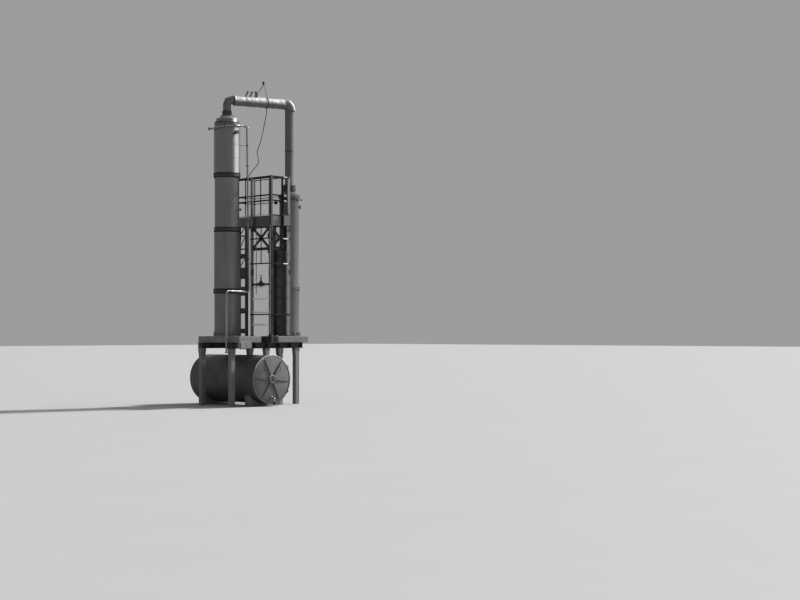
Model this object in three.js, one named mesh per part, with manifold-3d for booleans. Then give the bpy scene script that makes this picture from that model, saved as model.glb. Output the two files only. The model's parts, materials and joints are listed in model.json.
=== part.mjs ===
// Twin distillation column unit on a raised table, in millimetres, +Z up.
// +X runs from the main column towards the second column, and the drum under the table lies along Y.
// Plan positions are measured from the main column's axis, and the whole group is centred at the end.

import * as THREE from "three";
import { mergeVertices } from "three/addons/utils/BufferGeometryUtils.js";
import Module from "manifold-3d";

const wasm = await Module();
wasm.setup();

// Gap left between pieces that meet on a curved or slanted face
const seat = 0.3;
const roundSides = 40;
const pipeSides = 16;

// Table: two slabs on two beams on six legs
const tableTop = 2030;
const slabThickness = 190;
const beamDepth = 170;
const slabFront = -1080;
const slabRear = 800;
const slabEdges = { main: [-440, 400], second: [1050, 2250] };
const beamEnds = [-520, 2250];
const beamWidth = 200;
const beamRows = { front: -735, rear: 620 };
const legColumns = { left: -430, middle: 1400, right: 2050 };
const legSide = 150;
const capitalWidth = 200;
const capitalHeight = 200;
const sill = { left: 780, right: 880, front: -1060, rear: 730 };

// Main column: heights of its joints and outer radii of its sections, from the table up
const mainJoints = [tableTop, 3345, 5140, 6730, 8250];
const mainRadii = [365, 375, 357, 385];
const mainWall = 12;
const mainFlangeRadii = [400, 382, 394];
const flangeThickness = 34;
const baseRingRadius = 398;
const topShoulderHeight = 80;
const topNeckRadius = 345;
const headFlangeRadius = 368;

// Second column
const secondAxis = { x: 1890, y: -615 };
const secondJoint = 3440;
const secondTop = 6190;
const secondRadii = [300, 292];
const secondWall = 10;
const secondFootRadius = 345;
const secondFlangeRadius = 322;
const secondHeadHeight = 180;
const inletRadius = 198;
const inletThickness = 80;

// Overhead vapour line from the main column's neck to the second column's inlet
const overheadHeight = 8950;
const riserRadius = 117;
const riserLift = 18;
const runRadius = 148;
const downRadius = 128;
const mitreReach = 150;
const cladSeam = 215;
const neckTop = 8590;
const riserFlange = { radius: 142, thickness: 32 };
// Clad elbow over the down pipe's top: distances from the second column's axis, and heights
const elbow = { radius: 151, seam: -170, corner: [-47, 8950], heel: [30, 8795], foot: 8768 };

// Vent nozzle on the run, its profile measured from just inside the cladding
const vent = {
  distance: 940,
  profile: [[0, 0], [58, 0], [58, 150], [70, 150], [70, 168], [46, 186], [0, 192]],
};

// Lamp held over the run, and the collar that the cable hangs from
const lamp = { distance: 1160, height: 9500, stay: 1288 };
const collarDistance = 1256;

// Directions in plan, seen from where the ground-level view of the unit is taken
const viewRightAngle = Math.atan2(-0.657, 0.754);

// Service tower
const postSide = 75;
const nearPost = { x: 830, y: -1005 };
const leftPost = { x: 830, y: -156 };
const rightPost = { x: 1534, y: -1005, width: 40 };
const rearPost = { x: 1560, y: -120, side: 60 };
const railTop = 6742;
const platform = { bottom: 5280, top: 5600, deck: 8, skin: 8, right: 1530, rear: 600 };
const railBar = 32;
const railHeights = [6180, 6020];

// Drum
const drum = { x: 520, z: 775, front: -1360, rear: 1480, radius: 700, wall: 14 };

const steelGrey = { color: 0x6f7274, roughness: 0.55, metalness: 0.5 };
const shellGrey = { color: 0x7d8082, roughness: 0.5, metalness: 0.4 };
const cladding = { color: 0xb9bcbe, roughness: 0.3, metalness: 0.9 };
const darkSteel = { color: 0x3c3e40, roughness: 0.6, metalness: 0.5 };
const concrete = { color: 0x9a9892, roughness: 0.9, metalness: 0.0 };
const cableBlack = { color: 0x1c1c1c, roughness: 0.7, metalness: 0.0 };

const unit = new THREE.Group();

function addPiece(name, geometry, finish) {
  const mesh = new THREE.Mesh(geometry, new THREE.MeshStandardMaterial(finish));
  mesh.name = name;
  unit.add(mesh);
  return mesh;
}

// A closed geometry as a solid that can be joined or cut
function solidFrom(geometry) {
  const bare = geometry.index ? geometry.toNonIndexed() : geometry.clone();
  bare.deleteAttribute("normal");
  bare.deleteAttribute("uv");
  const merged = mergeVertices(bare, 1e-3);
  const corners = merged.index.array;
  const kept = [];
  for (let i = 0; i < corners.length; i += 3) {
    const [a, b, c] = [corners[i], corners[i + 1], corners[i + 2]];
    if (a !== b && b !== c && c !== a) kept.push(a, b, c);
  }
  return new wasm.Manifold(
    new wasm.Mesh({
      numProp: 3,
      vertProperties: merged.attributes.position.array,
      triVerts: new Uint32Array(kept),
    }),
  );
}

function geometryFrom(solid) {
  const mesh = solid.getMesh();
  const geometry = new THREE.BufferGeometry();
  geometry.setAttribute("position", new THREE.BufferAttribute(new Float32Array(mesh.vertProperties), 3));
  geometry.setIndex(new THREE.BufferAttribute(new Uint32Array(mesh.triVerts), 1));
  return geometry;
}

// The geometries joined into one body, as welded or cast together
function fused(geometries) {
  const solids = geometries.map(solidFrom);
  return geometryFrom(solids.reduce((whole, piece) => whole.add(piece)));
}

// A box between two limits on each axis
function block([x0, x1], [y0, y1], [z0, z1]) {
  const geometry = new THREE.BoxGeometry(x1 - x0, y1 - y0, z1 - z0);
  return geometry.translate((x0 + x1) / 2, (y0 + y1) / 2, (z0 + z1) / 2);
}

// A profile of [radius, height] points turned round a vertical axis
function turned(profile, sides = roundSides) {
  const points = profile.map(([radius, height]) => new THREE.Vector2(radius, height));
  return new THREE.LatheGeometry(points, sides).rotateX(Math.PI / 2);
}

// A geometry made upright and turned so that its +Z runs along a direction
function pointed(geometry, origin, direction) {
  const turn = new THREE.Quaternion().setFromUnitVectors(new THREE.Vector3(0, 0, 1), direction);
  return geometry.applyQuaternion(turn).translate(origin.x, origin.y, origin.z);
}

function rod(start, end, radius, sides = pipeSides) {
  const along = end.clone().sub(start);
  const length = along.length();
  const profile = [[0, 0], [radius, 0], [radius, length], [0, length]];
  return pointed(turned(profile, sides), start, along.normalize());
}

// A tube's centre line given by its stations, with one section at each
class StationPath extends THREE.Curve {
  constructor(stations) {
    super();
    this.stations = stations;
  }
  index(t) {
    return Math.round(t * (this.stations.length - 1));
  }
  getPoint(t) {
    return this.stations[this.index(t)].clone();
  }
  getPointAt(t) {
    return this.getPoint(t);
  }
  getTangent(t) {
    const i = this.index(t);
    const last = this.stations.length - 1;
    const before = this.stations[Math.max(i - 1, 0)];
    const here = this.stations[i];
    const after = this.stations[Math.min(i + 1, last)];
    const arriving = here.clone().sub(before).normalize();
    const leaving = after.clone().sub(here).normalize();
    return arriving.add(leaving).normalize();
  }
  getTangentAt(t) {
    return this.getTangent(t);
  }
}

// Widens the section at each corner station so that both straight stretches keep their full width
function mitreCorners(geometry, stations, radius) {
  const position = geometry.getAttribute("position");
  const vertex = new THREE.Vector3();
  for (let i = 1; i < stations.length - 1; i++) {
    const arriving = stations[i].clone().sub(stations[i - 1]).normalize();
    const leaving = stations[i + 1].clone().sub(stations[i]).normalize();
    const normal = arriving.clone().add(leaving).normalize();
    const outward = leaving.clone().sub(arriving);
    if (outward.length() < 1e-4) continue;
    outward.normalize();
    const stretch = 1 / arriving.dot(normal) - 1;
    for (let v = 0; v < position.count; v++) {
      vertex.fromBufferAttribute(position, v).sub(stations[i]);
      if (vertex.length() > radius * 1.05 || Math.abs(vertex.dot(normal)) > 0.05) continue;
      vertex.addScaledVector(outward, vertex.dot(outward) * stretch).add(stations[i]);
      position.setXYZ(v, vertex.x, vertex.y, vertex.z);
    }
  }
  return geometry;
}

function circleShape(radius, sides) {
  const points = [];
  for (let i = 0; i < sides; i++) {
    const angle = (2 * Math.PI * i) / sides;
    points.push(new THREE.Vector2(radius * Math.cos(angle), radius * Math.sin(angle)));
  }
  return new THREE.Shape(points);
}

function tubeThrough(stations, radius, sides = pipeSides) {
  const geometry = new THREE.ExtrudeGeometry(circleShape(radius, sides), {
    steps: stations.length - 1,
    bevelEnabled: false,
    extrudePath: new StationPath(stations),
  });
  return mitreCorners(geometry, stations, radius);
}

// The corners of a route replaced by arcs of one bend radius
function roundedRoute(corners, bendRadius, pieces = 4) {
  const stations = [corners[0]];
  for (let i = 1; i < corners.length - 1; i++) {
    const arriving = corners[i].clone().sub(corners[i - 1]).normalize();
    const leaving = corners[i + 1].clone().sub(corners[i]).normalize();
    const angle = arriving.angleTo(leaving);
    const side = leaving.clone().addScaledVector(arriving, -leaving.dot(arriving)).normalize();
    const start = corners[i].clone().addScaledVector(arriving, -bendRadius * Math.tan(angle / 2));
    for (let k = 0; k <= pieces; k++) {
      const swept = (angle * k) / pieces;
      const station = start.clone().addScaledVector(arriving, bendRadius * Math.sin(swept));
      stations.push(station.addScaledVector(side, bendRadius * (1 - Math.cos(swept))));
    }
  }
  stations.push(corners[corners.length - 1]);
  return stations;
}

function at(x, y, z) {
  return new THREE.Vector3(x, y, z);
}

// A point on a circle round a vertical axis
function around(axis, radius, angle, height) {
  return at(axis.x + radius * Math.cos(angle), axis.y + radius * Math.sin(angle), height);
}

// A short pipe with a flange at its mouth, standing out of a shell along a level direction
function nozzle(axis, shellRadius, angle, height, pipeRadius, reach) {
  const inner = shellRadius - 8;
  const flangeDepth = 16;
  const profile = [
    [0, 0],
    [pipeRadius, 0],
    [pipeRadius, reach + 8 - flangeDepth],
    [pipeRadius * 1.5, reach + 8 - flangeDepth],
    [pipeRadius * 1.5, reach + 8],
    [0, reach + 8],
  ];
  const direction = at(Math.cos(angle), Math.sin(angle), 0);
  return pointed(turned(profile, pipeSides), around(axis, inner, angle, height), direction);
}

// A hollow shell section with a flange at each end, or a base ring at its foot
function shellProfile(bottom, top, radius, wall, bottomFlange, topFlange) {
  return [
    [radius - wall, bottom],
    [bottomFlange, bottom],
    [bottomFlange, bottom + flangeThickness],
    [radius, bottom + flangeThickness],
    [radius, top - flangeThickness],
    [topFlange, top - flangeThickness],
    [topFlange, top],
    [radius - wall, top],
    [radius - wall, bottom],
  ];
}

function addTable() {
  const slabBottom = tableTop - slabThickness;
  const beamBottom = slabBottom - beamDepth;
  for (const [name, edges] of Object.entries(slabEdges)) {
    addPiece(`slab_${name}`, block(edges, [slabFront, slabRear], [slabBottom, tableTop]), concrete);
  }
  for (const [row, y] of Object.entries(beamRows)) {
    const width = [y - beamWidth / 2, y + beamWidth / 2];
    addPiece(`beam_${row}`, block(beamEnds, width, [beamBottom, slabBottom]), darkSteel);
    for (const [column, x] of Object.entries(legColumns)) {
      addPiece(`leg_${row}_${column}`, legGeometry(x, y, beamBottom), concrete);
    }
  }
  const sillTop = slabBottom + beamDepth;
  addPiece(
    "tower_sill",
    block([sill.left, sill.right], [sill.front, sill.rear], [slabBottom, sillTop]),
    darkSteel,
  );
}

// A square leg whose top flares out on both sides
function legGeometry(x, y, top) {
  const half = legSide / 2;
  const flare = capitalWidth / 2;
  const outline = new THREE.Shape([
    new THREE.Vector2(-half, 0),
    new THREE.Vector2(half, 0),
    new THREE.Vector2(half, top - capitalHeight),
    new THREE.Vector2(flare, top - capitalHeight / 4),
    new THREE.Vector2(flare, top),
    new THREE.Vector2(-flare, top),
    new THREE.Vector2(-flare, top - capitalHeight / 4),
    new THREE.Vector2(-half, top - capitalHeight),
  ]);
  const geometry = new THREE.ExtrudeGeometry(outline, { depth: legSide, bevelEnabled: false });
  return geometry.rotateX(Math.PI / 2).translate(x, y + half, 0);
}

function addMainColumn() {
  const axis = { x: 0, y: 0 };
  const names = ["base", "lower", "upper"];
  for (const [i, name] of names.entries()) {
    const foot = i === 0 ? baseRingRadius : mainFlangeRadii[i - 1];
    const profile = shellProfile(mainJoints[i], mainJoints[i + 1], mainRadii[i], mainWall, foot, mainFlangeRadii[i]);
    const shell = [turned(profile)];
    if (name === "upper") shell.push(nozzle(axis, mainRadii[i], viewRightAngle, 5740, 26, 60));
    addPiece(`main_shell_${name}`, shell.length > 1 ? fused(shell) : shell[0], shellGrey);
  }
  const [bottom, top] = mainJoints.slice(3);
  const radius = mainRadii[3];
  const shoulder = top - topShoulderHeight;
  const topProfile = [
    [radius - mainWall, bottom],
    [mainFlangeRadii[2], bottom],
    [mainFlangeRadii[2], bottom + flangeThickness],
    [radius, bottom + flangeThickness],
    [radius, shoulder - 30],
    [topNeckRadius, shoulder],
    [topNeckRadius, top - flangeThickness],
    [headFlangeRadius, top - flangeThickness],
    [headFlangeRadius, top],
    [topNeckRadius - mainWall, top],
    [topNeckRadius - mainWall, shoulder - 12],
    [radius - mainWall, shoulder - 42],
    [radius - mainWall, bottom],
  ];
  const frontNozzleAngle = viewRightAngle - THREE.MathUtils.degToRad(48);
  addPiece(
    "main_shell_top",
    fused([turned(topProfile), nozzle(axis, radius, frontNozzleAngle, 7970, 40, 90)]),
    shellGrey,
  );

  // Stepped head, hollow, with its neck open to the riser
  const headProfile = [
    [topNeckRadius - mainWall, top],
    [headFlangeRadius, top],
    [headFlangeRadius, top + flangeThickness],
    [318, top + flangeThickness],
    [318, 8395],
    [196, 8445],
    [196, 8482],
    [160, 8482],
    [128, 8550],
    [riserFlange.radius, 8558],
    [riserFlange.radius, neckTop],
    [100, neckTop],
    [100, 8482],
    [180, 8436],
    [306, 8384],
    [306, top + flangeThickness],
    [topNeckRadius - mainWall, top],
  ];
  addPiece("main_head", turned(headProfile), shellGrey);
}

function alongOverhead(distance, height) {
  const length = Math.hypot(secondAxis.x, secondAxis.y);
  return at((secondAxis.x * distance) / length, (secondAxis.y * distance) / length, height);
}

function addOverheadLine() {
  const length = Math.hypot(secondAxis.x, secondAxis.y);
  const flangeTop = neckTop + riserFlange.thickness;
  const riserStations = [
    at(0, 0, flangeTop - 4),
    at(0, 0, overheadHeight - mitreReach),
    alongOverhead(mitreReach, overheadHeight + riserLift),
    alongOverhead(cladSeam, overheadHeight + riserLift),
  ];
  const flange = turned([
    [0, neckTop],
    [riserFlange.radius, neckTop],
    [riserFlange.radius, flangeTop],
    [0, flangeTop],
  ]);
  addPiece("overhead_riser", fused([flange, tubeThrough(riserStations, riserRadius, 24)]), shellGrey);

  const runEnd = length + elbow.seam;
  const runSpan = [alongOverhead(cladSeam + seat, overheadHeight), alongOverhead(runEnd - seat, overheadHeight)];
  const run = [tubeThrough(runSpan, runRadius, 24)];
  // Two thin stubs that lean along the run, and a vent nozzle
  const stubRadius = 20;
  for (const [foot, tip] of [[575, 668], [716, 800]]) {
    const start = alongOverhead(foot, overheadHeight + runRadius - 12);
    run.push(rod(start, alongOverhead(tip, overheadHeight + runRadius + 162), stubRadius, 10));
  }
  const ventFoot = alongOverhead(vent.distance, overheadHeight + runRadius - 12);
  run.push(pointed(turned(vent.profile, 20), ventFoot, at(0, 0, 1)));
  // Slanted strut from the vent's rim to the lamp, and a thin stay from the lamp down to the run
  const strutFoot = alongOverhead(vent.distance + 50, overheadHeight + runRadius + 148);
  const stayFoot = alongOverhead(lamp.stay, overheadHeight + runRadius - 12);
  const tip = alongOverhead(lamp.distance, lamp.height);
  run.push(rod(strutFoot, tip, 10, 8), rod(tip, stayFoot, 7, 8), rod(tip, tip.clone().setZ(lamp.height + 12), 13, 10));
  addPiece("overhead_run", fused(run), cladding);

  const inletTop = secondTop + secondHeadHeight + inletThickness;
  const downSpan = [at(secondAxis.x, secondAxis.y, elbow.corner[1] - 60), at(secondAxis.x, secondAxis.y, inletTop + 60)];
  const elbowStations = [
    alongOverhead(runEnd, overheadHeight),
    alongOverhead(length + elbow.corner[0], elbow.corner[1]),
    alongOverhead(length + elbow.heel[0], elbow.heel[1]),
    alongOverhead(length + elbow.heel[0], elbow.foot),
  ];
  const downFlange = turned([
    [0, inletTop],
    [inletRadius, inletTop],
    [inletRadius, inletTop + inletThickness],
    [0, inletTop + inletThickness],
  ]).translate(secondAxis.x, secondAxis.y, 0);
  const downPieces = [downFlange, tubeThrough(downSpan, downRadius, 24), tubeThrough(elbowStations, elbow.radius, 24)];
  addPiece("overhead_down_pipe", fused(downPieces), cladding);
}

function addSecondColumn() {
  const wall = secondWall;
  const sections = [
    { name: "lower", bottom: tableTop, top: secondJoint, radius: secondRadii[0], foot: secondFootRadius },
    { name: "upper", bottom: secondJoint, top: secondTop, radius: secondRadii[1], foot: secondFlangeRadius },
  ];
  for (const part of sections) {
    const profile = shellProfile(part.bottom, part.top, part.radius, wall, part.foot, secondFlangeRadius);
    const pieces = [turned(profile, 32).translate(secondAxis.x, secondAxis.y, 0)];
    if (part.name === "upper") pieces.push(nozzle(secondAxis, part.radius, viewRightAngle, 5890, 38, 50));
    addPiece(`second_shell_${part.name}`, pieces.length > 1 ? fused(pieces) : pieces[0], shellGrey);
  }
  const headTop = secondTop + secondHeadHeight;
  const radius = secondRadii[1];
  const headProfile = [
    [radius - wall, secondTop],
    [secondFlangeRadius, secondTop],
    [secondFlangeRadius, secondTop + flangeThickness],
    [radius, secondTop + flangeThickness],
    [radius - 30, secondTop + 80],
    [150, headTop],
    [inletRadius, headTop],
    [inletRadius, headTop + inletThickness],
    [110, headTop + inletThickness],
    [110, headTop],
    [radius - wall - 32, secondTop + 70],
    [radius - wall, secondTop],
  ];
  addPiece("second_head", turned(headProfile, 32).translate(secondAxis.x, secondAxis.y, 0), shellGrey);
}

// Stations along an arc round a vertical axis, with the middles of their chords on the circle
function arcStations(axis, radius, from, to, [first, last], pieces) {
  const stations = [];
  const step = (to - from) / pieces;
  const reach = radius / Math.cos(step / 2);
  for (let i = 0; i <= pieces; i++) {
    stations.push(around(axis, reach, from + step * i, first + ((last - first) * i) / pieces));
  }
  return stations;
}

function addSmallPipes() {
  const main = { x: 0, y: 0 };
  const feedRadius = 28;
  const feedHeights = { left: 8100, right: 8186 };
  const hug = mainRadii[3] + feedRadius + seat;
  const standOff = 60;
  const turnIn = 0.3;
  const leftAngle = viewRightAngle - Math.PI;
  const reach = { left: 550, right: 584 };
  const drop = around(main, reach.right, viewRightAngle, feedHeights.right);
  const dropLean = 72;
  const crossHeight = 3330;
  const edgeDrop = { x: -570, y: -666, bottom: 1540 };
  const stub = [
    around(main, reach.left, leftAngle, feedHeights.left),
    around(main, hug + standOff, leftAngle, feedHeights.left),
  ];
  const ringHeights = [feedHeights.left, feedHeights.right];
  const ring = arcStations(main, hug, leftAngle + turnIn, viewRightAngle - turnIn, ringHeights, 16);
  const fall = roundedRoute(
    [
      around(main, hug + standOff, viewRightAngle, feedHeights.right),
      drop,
      at(drop.x + dropLean, drop.y, crossHeight),
      at(edgeDrop.x, edgeDrop.y, crossHeight),
      at(edgeDrop.x, edgeDrop.y, edgeDrop.bottom + 20),
    ],
    85,
  );
  const feed = tubeThrough([...stub, ...ring, ...fall], feedRadius, 12);
  const bottom = at(edgeDrop.x, edgeDrop.y, edgeDrop.bottom);
  const cap = rod(bottom, at(edgeDrop.x, edgeDrop.y, edgeDrop.bottom + 25), 46, 16);
  addPiece("feed_pipe", fused([feed, cap]), steelGrey);

  const ringRadius = 20;
  const ringHug = secondRadii[1] + ringRadius - 1;
  const ringHeight = 6108;
  const ringStations = [
    ...arcStations(secondAxis, ringHug, viewRightAngle - 2.6, viewRightAngle - 0.3, [ringHeight, ringHeight], 12),
    around(secondAxis, ringHug + 40, viewRightAngle, ringHeight),
    around(secondAxis, 380, viewRightAngle, ringHeight),
  ];
  addPiece("second_ring_pipe", tubeThrough(ringStations, ringRadius, 10), steelGrey);
}

// A flat bar between two points of one upright plane, given by the plane's across axis
function flatBar(start, end, width, depth, depthAxis) {
  const along = end.clone().sub(start);
  const length = along.length();
  const up = along.normalize();
  const across = new THREE.Vector3().crossVectors(up, depthAxis).normalize();
  const basis = new THREE.Matrix4().makeBasis(across, up, depthAxis);
  const middle = start.clone().add(end).multiplyScalar(0.5);
  return new THREE.BoxGeometry(width, length, depth).applyMatrix4(basis).translate(middle.x, middle.y, middle.z);
}

function squareSpan(centre, side) {
  return [centre - side / 2, centre + side / 2];
}

function addTower() {
  const slabBottom = tableTop - slabThickness;
  const sillTop = slabBottom + beamDepth;
  const fromSill = [sillTop, railTop];
  const fromSlab = [tableTop, railTop];
  const nearX = squareSpan(nearPost.x, postSide);
  const nearY = squareSpan(nearPost.y, postSide);
  const leftY = squareSpan(leftPost.y, postSide);
  const rightX = squareSpan(rightPost.x, rightPost.width);
  addPiece("tower_post_near", block(nearX, nearY, fromSill), darkSteel);
  addPiece("tower_post_left", block(nearX, leftY, fromSill), darkSteel);
  addPiece("tower_post_right", block(rightX, nearY, fromSlab), darkSteel);
  const rearSpan = [squareSpan(rearPost.x, rearPost.side), squareSpan(rearPost.y, rearPost.side)];
  addPiece("tower_post_rear", block(...rearSpan, fromSlab), darkSteel);

  const inner = { left: nearX[1], front: nearY[1] };
  addLacedColumn(sillTop);
  addPlatform(inner);
  addGuardRails(inner);
  addBraces(inner);
  addTies(nearX[0], nearY[0]);
  addCrossBars(nearY[1], leftY[0]);
  addBypass(nearY[1], leftY[0]);
  addLadder();
}

// Two chords joined by a row of plates, with a slanted bar in the upper panels
function addLacedColumn(foot) {
  const chords = [
    { y: 98, width: 100 },
    { y: 404, width: 60 },
  ];
  const plates = [
    [2110, 2250],
    [2700, 2860],
    [3230, 3500],
    [3730, 4070],
    [4345, 4480],
    [4600, 4640],
    [4990, 5030],
  ];
  const diagonals = [[4070, 4345], [4640, 4990], [5030, platform.bottom - 20]];
  const top = platform.bottom;
  const plateThickness = 10;
  const chordDepth = 50;
  const depth = squareSpan(nearPost.x, chordDepth);
  const pieces = chords.map((chord) => block(depth, squareSpan(chord.y, chord.width), [foot, top]));
  const inside = chords.map((chord) => chord.y);
  for (const span of plates) pieces.push(block(squareSpan(nearPost.x, plateThickness), inside, span));
  const face = new THREE.Vector3(1, 0, 0);
  for (const [low, high] of diagonals) {
    pieces.push(flatBar(at(nearPost.x, inside[1], low), at(nearPost.x, inside[0], high), 34, plateThickness, face));
  }
  addPiece("laced_column", fused(pieces), darkSteel);
}

function addPlatform(inner) {
  const { bottom, top, skin, right, rear } = platform;
  const outline = new THREE.Shape([
    new THREE.Vector2(inner.left, inner.front),
    new THREE.Vector2(right, inner.front),
    new THREE.Vector2(right, rear),
    new THREE.Vector2(inner.left, rear),
  ]);
  outline.holes.push(
    new THREE.Path([
      new THREE.Vector2(inner.left + skin, inner.front + skin),
      new THREE.Vector2(inner.left + skin, rear - skin),
      new THREE.Vector2(right - skin, rear - skin),
      new THREE.Vector2(right - skin, inner.front + skin),
    ]),
  );
  const fascia = new THREE.ExtrudeGeometry(outline, { depth: top - bottom, bevelEnabled: false });
  addPiece("platform_fascia", fascia.translate(0, 0, bottom), steelGrey);
  const deck = block([inner.left, right], [inner.front, rear], [top, top + platform.deck]);
  addPiece("platform_deck", deck, steelGrey);
}

// One side of the guard rail: rails along it and stanchions that stand on the deck
function railPanel(name, spanX, spanY, stanchions) {
  const foot = platform.top + platform.deck;
  const rails = [railTop - railBar / 2, ...railHeights].map((z) => block(spanX, spanY, squareSpan(z, railBar)));
  const uprights = stanchions.map(([x, y]) => block(x, y, [foot, railTop - railBar / 2]));
  addPiece(name, fused([...rails, ...uprights]), darkSteel);
}

function addGuardRails(inner) {
  const { right, rear } = platform;
  const leftBar = [inner.left, inner.left + railBar];
  const frontBar = [inner.front, inner.front + railBar];
  const rightBar = [right - railBar, right];
  const rearBar = [rear - railBar, rear];
  const frontMiddle = squareSpan(1331, railBar);
  const rearMiddle = squareSpan(1200, railBar);
  const leftMiddle = squareSpan(-482, railBar);
  const rightMiddle = squareSpan(-705, railBar);
  railPanel("guard_rail_left", leftBar, [inner.front - 40, rear], [
    [leftBar, leftMiddle],
    [leftBar, rearBar],
  ]);
  railPanel("guard_rail_front", [leftBar[1], right], frontBar, [
    [frontMiddle, frontBar],
    [rightBar, frontBar],
  ]);
  railPanel("guard_rail_right", rightBar, [frontBar[1], rear], [
    [rightBar, rightMiddle],
    [rightBar, rearBar],
  ]);
  railPanel("guard_rail_rear", [leftBar[1], rightBar[0]], rearBar, [[rearMiddle, rearBar]]);
}

function addBraces(inner) {
  const barWidth = 80;
  const barDepth = 10;
  const high = platform.bottom - 40;
  const low = 4600;
  const sideFace = new THREE.Vector3(1, 0, 0);
  const frontFace = new THREE.Vector3(0, 1, 0);
  const sideX = inner.left + barDepth / 2;
  const sideY = [inner.front + 60, leftPost.y + 20];
  const side = [
    flatBar(at(sideX, sideY[0], low), at(sideX, sideY[1], high), barWidth, barDepth, sideFace),
    flatBar(at(sideX, sideY[0], high), at(sideX, sideY[1], low), barWidth, barDepth, sideFace),
    block(squareSpan(sideX, barDepth), [inner.front + barDepth + seat, leftPost.y + 30], squareSpan(low, barWidth)),
    block(squareSpan(sideX, barDepth), [inner.front + barDepth + seat, inner.front + 100], [low - 250, low]),
  ];
  addPiece("brace_side", fused(side), darkSteel);
  const frontY = inner.front + barDepth / 2;
  const frontX = [nearPost.x + 50, rightPost.x - 20];
  const front = [
    flatBar(at(frontX[0], frontY, low), at(frontX[1], frontY, high), barWidth, barDepth, frontFace),
    flatBar(at(frontX[0], frontY, high), at(frontX[1], frontY, low), barWidth, barDepth, frontFace),
    block([nearPost.x - 20, rightPost.x + 10], squareSpan(frontY, barDepth), squareSpan(low, barWidth)),
  ];
  addPiece("brace_front", fused(front), darkSteel);
}

// Flat ties bent round the tower's outer corner
function addTies(left, front) {
  const thickness = 12;
  const ties = { upper: 4900, lower: 4165, foot: 2665 };
  for (const [name, height] of Object.entries(ties)) {
    const outline = new THREE.Shape([
      new THREE.Vector2(left - thickness, front - thickness),
      new THREE.Vector2(rightPost.x + 20, front - thickness),
      new THREE.Vector2(rightPost.x + 20, front),
      new THREE.Vector2(left, front),
      new THREE.Vector2(left, leftPost.y + postSide / 2),
      new THREE.Vector2(left - thickness, leftPost.y + postSide / 2),
    ]);
    const tie = new THREE.ExtrudeGeometry(outline, { depth: 36, bevelEnabled: false });
    addPiece(`tower_tie_${name}`, tie.translate(0, 0, height - 18), steelGrey);
  }
}

// Round bars across the tower's left side, one above the other
function addCrossBars(front, rear) {
  const bars = {
    low: { height: 2365, radius: 19, offset: 0 },
    middle: { height: 2735, radius: 19, offset: 0 },
    high: { height: 3125, radius: 19, offset: 0 },
    top: { height: 3474, radius: 12, offset: 24 },
  };
  for (const [name, { height, radius, offset }] of Object.entries(bars)) {
    const x = nearPost.x + offset;
    addPiece(`cross_bar_${name}`, rod(at(x, front, height), at(x, rear, height), radius, 14), steelGrey);
  }
}

// A level line between two posts, with a valve and its stem, and a thin upright branch
function addBypass(front, rear) {
  const height = 3552;
  const middle = -555;
  const branch = { y: -346, radius: 11, bottom: 3270, top: platform.bottom - 40 };
  const halfBody = [[62, 40], [36, 112], [46, 120], [46, 145], [0, 145]];
  const otherHalf = halfBody.map(([radius, distance]) => [radius, -distance]).reverse();
  const body = turned([...otherHalf, ...halfBody], 16);
  const bonnet = turned([[0, 0], [60, 0], [56, 70], [22, 120], [15, 120], [15, 225], [0, 225]], 16);
  const wheel = turned([[34, -9], [48, -9], [48, 9], [34, 9], [34, -9]], 16);
  const wheelHeight = height + 262;
  const along = new THREE.Vector3(0, 1, 0);
  const pieces = [
    rod(at(nearPost.x, front, height), at(nearPost.x, rear, height), 30, 12),
    pointed(body, at(nearPost.x, middle, height), along),
    bonnet.translate(nearPost.x, middle, height),
    rod(at(nearPost.x, middle, height + 200), at(nearPost.x, middle, wheelHeight + 14), 11, 10),
    wheel.translate(nearPost.x, middle, wheelHeight),
    block(squareSpan(nearPost.x, 80), squareSpan(middle, 14), squareSpan(wheelHeight, 14)),
    rod(at(nearPost.x, branch.y, branch.bottom), at(nearPost.x, branch.y, branch.top), branch.radius, 8),
  ];
  addPiece("bypass_line", fused(pieces), darkSteel);
}

// Ladder from the second slab to the platform's underside, along the tower's right side
function addLadder() {
  const middle = { x: 1470, y: -620 };
  const stile = { depth: 80, width: 35 };
  const spacing = 360;
  const rung = { radius: 12, first: 2280, pitch: 300 };
  const top = platform.top;
  const depth = squareSpan(middle.x, stile.depth);
  const rows = [middle.y - spacing / 2, middle.y + spacing / 2];
  const pieces = rows.map((y) => block(depth, squareSpan(y, stile.width), [tableTop, top]));
  for (let z = rung.first; z < top - rung.pitch / 2; z += rung.pitch) {
    pieces.push(rod(at(middle.x, rows[0], z), at(middle.x, rows[1], z), rung.radius, 8));
  }
  addPiece("access_ladder", fused(pieces), darkSteel);
}

function addLampAndCollar() {
  const tip = alongOverhead(lamp.distance, lamp.height + 12 + seat);
  const shade = turned([[0, 0], [50, 0], [50, 10], [24, 70], [12, 84], [0, 84]], 16);
  addPiece("lamp_shade", shade.translate(tip.x, tip.y, tip.z), darkSteel);
  const clip = alongOverhead(collarDistance, overheadHeight);
  const direction = alongOverhead(1, 0);
  const half = 9;
  const sides = 24;
  const inner = runRadius / Math.cos(Math.PI / sides) + seat;
  const outer = inner + 11;
  const collar = turned([[inner, -half], [outer, -half], [outer, half], [inner, half], [inner, -half]], sides);
  addPiece("cable_collar", pointed(collar, clip, direction), darkSteel);
}

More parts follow.
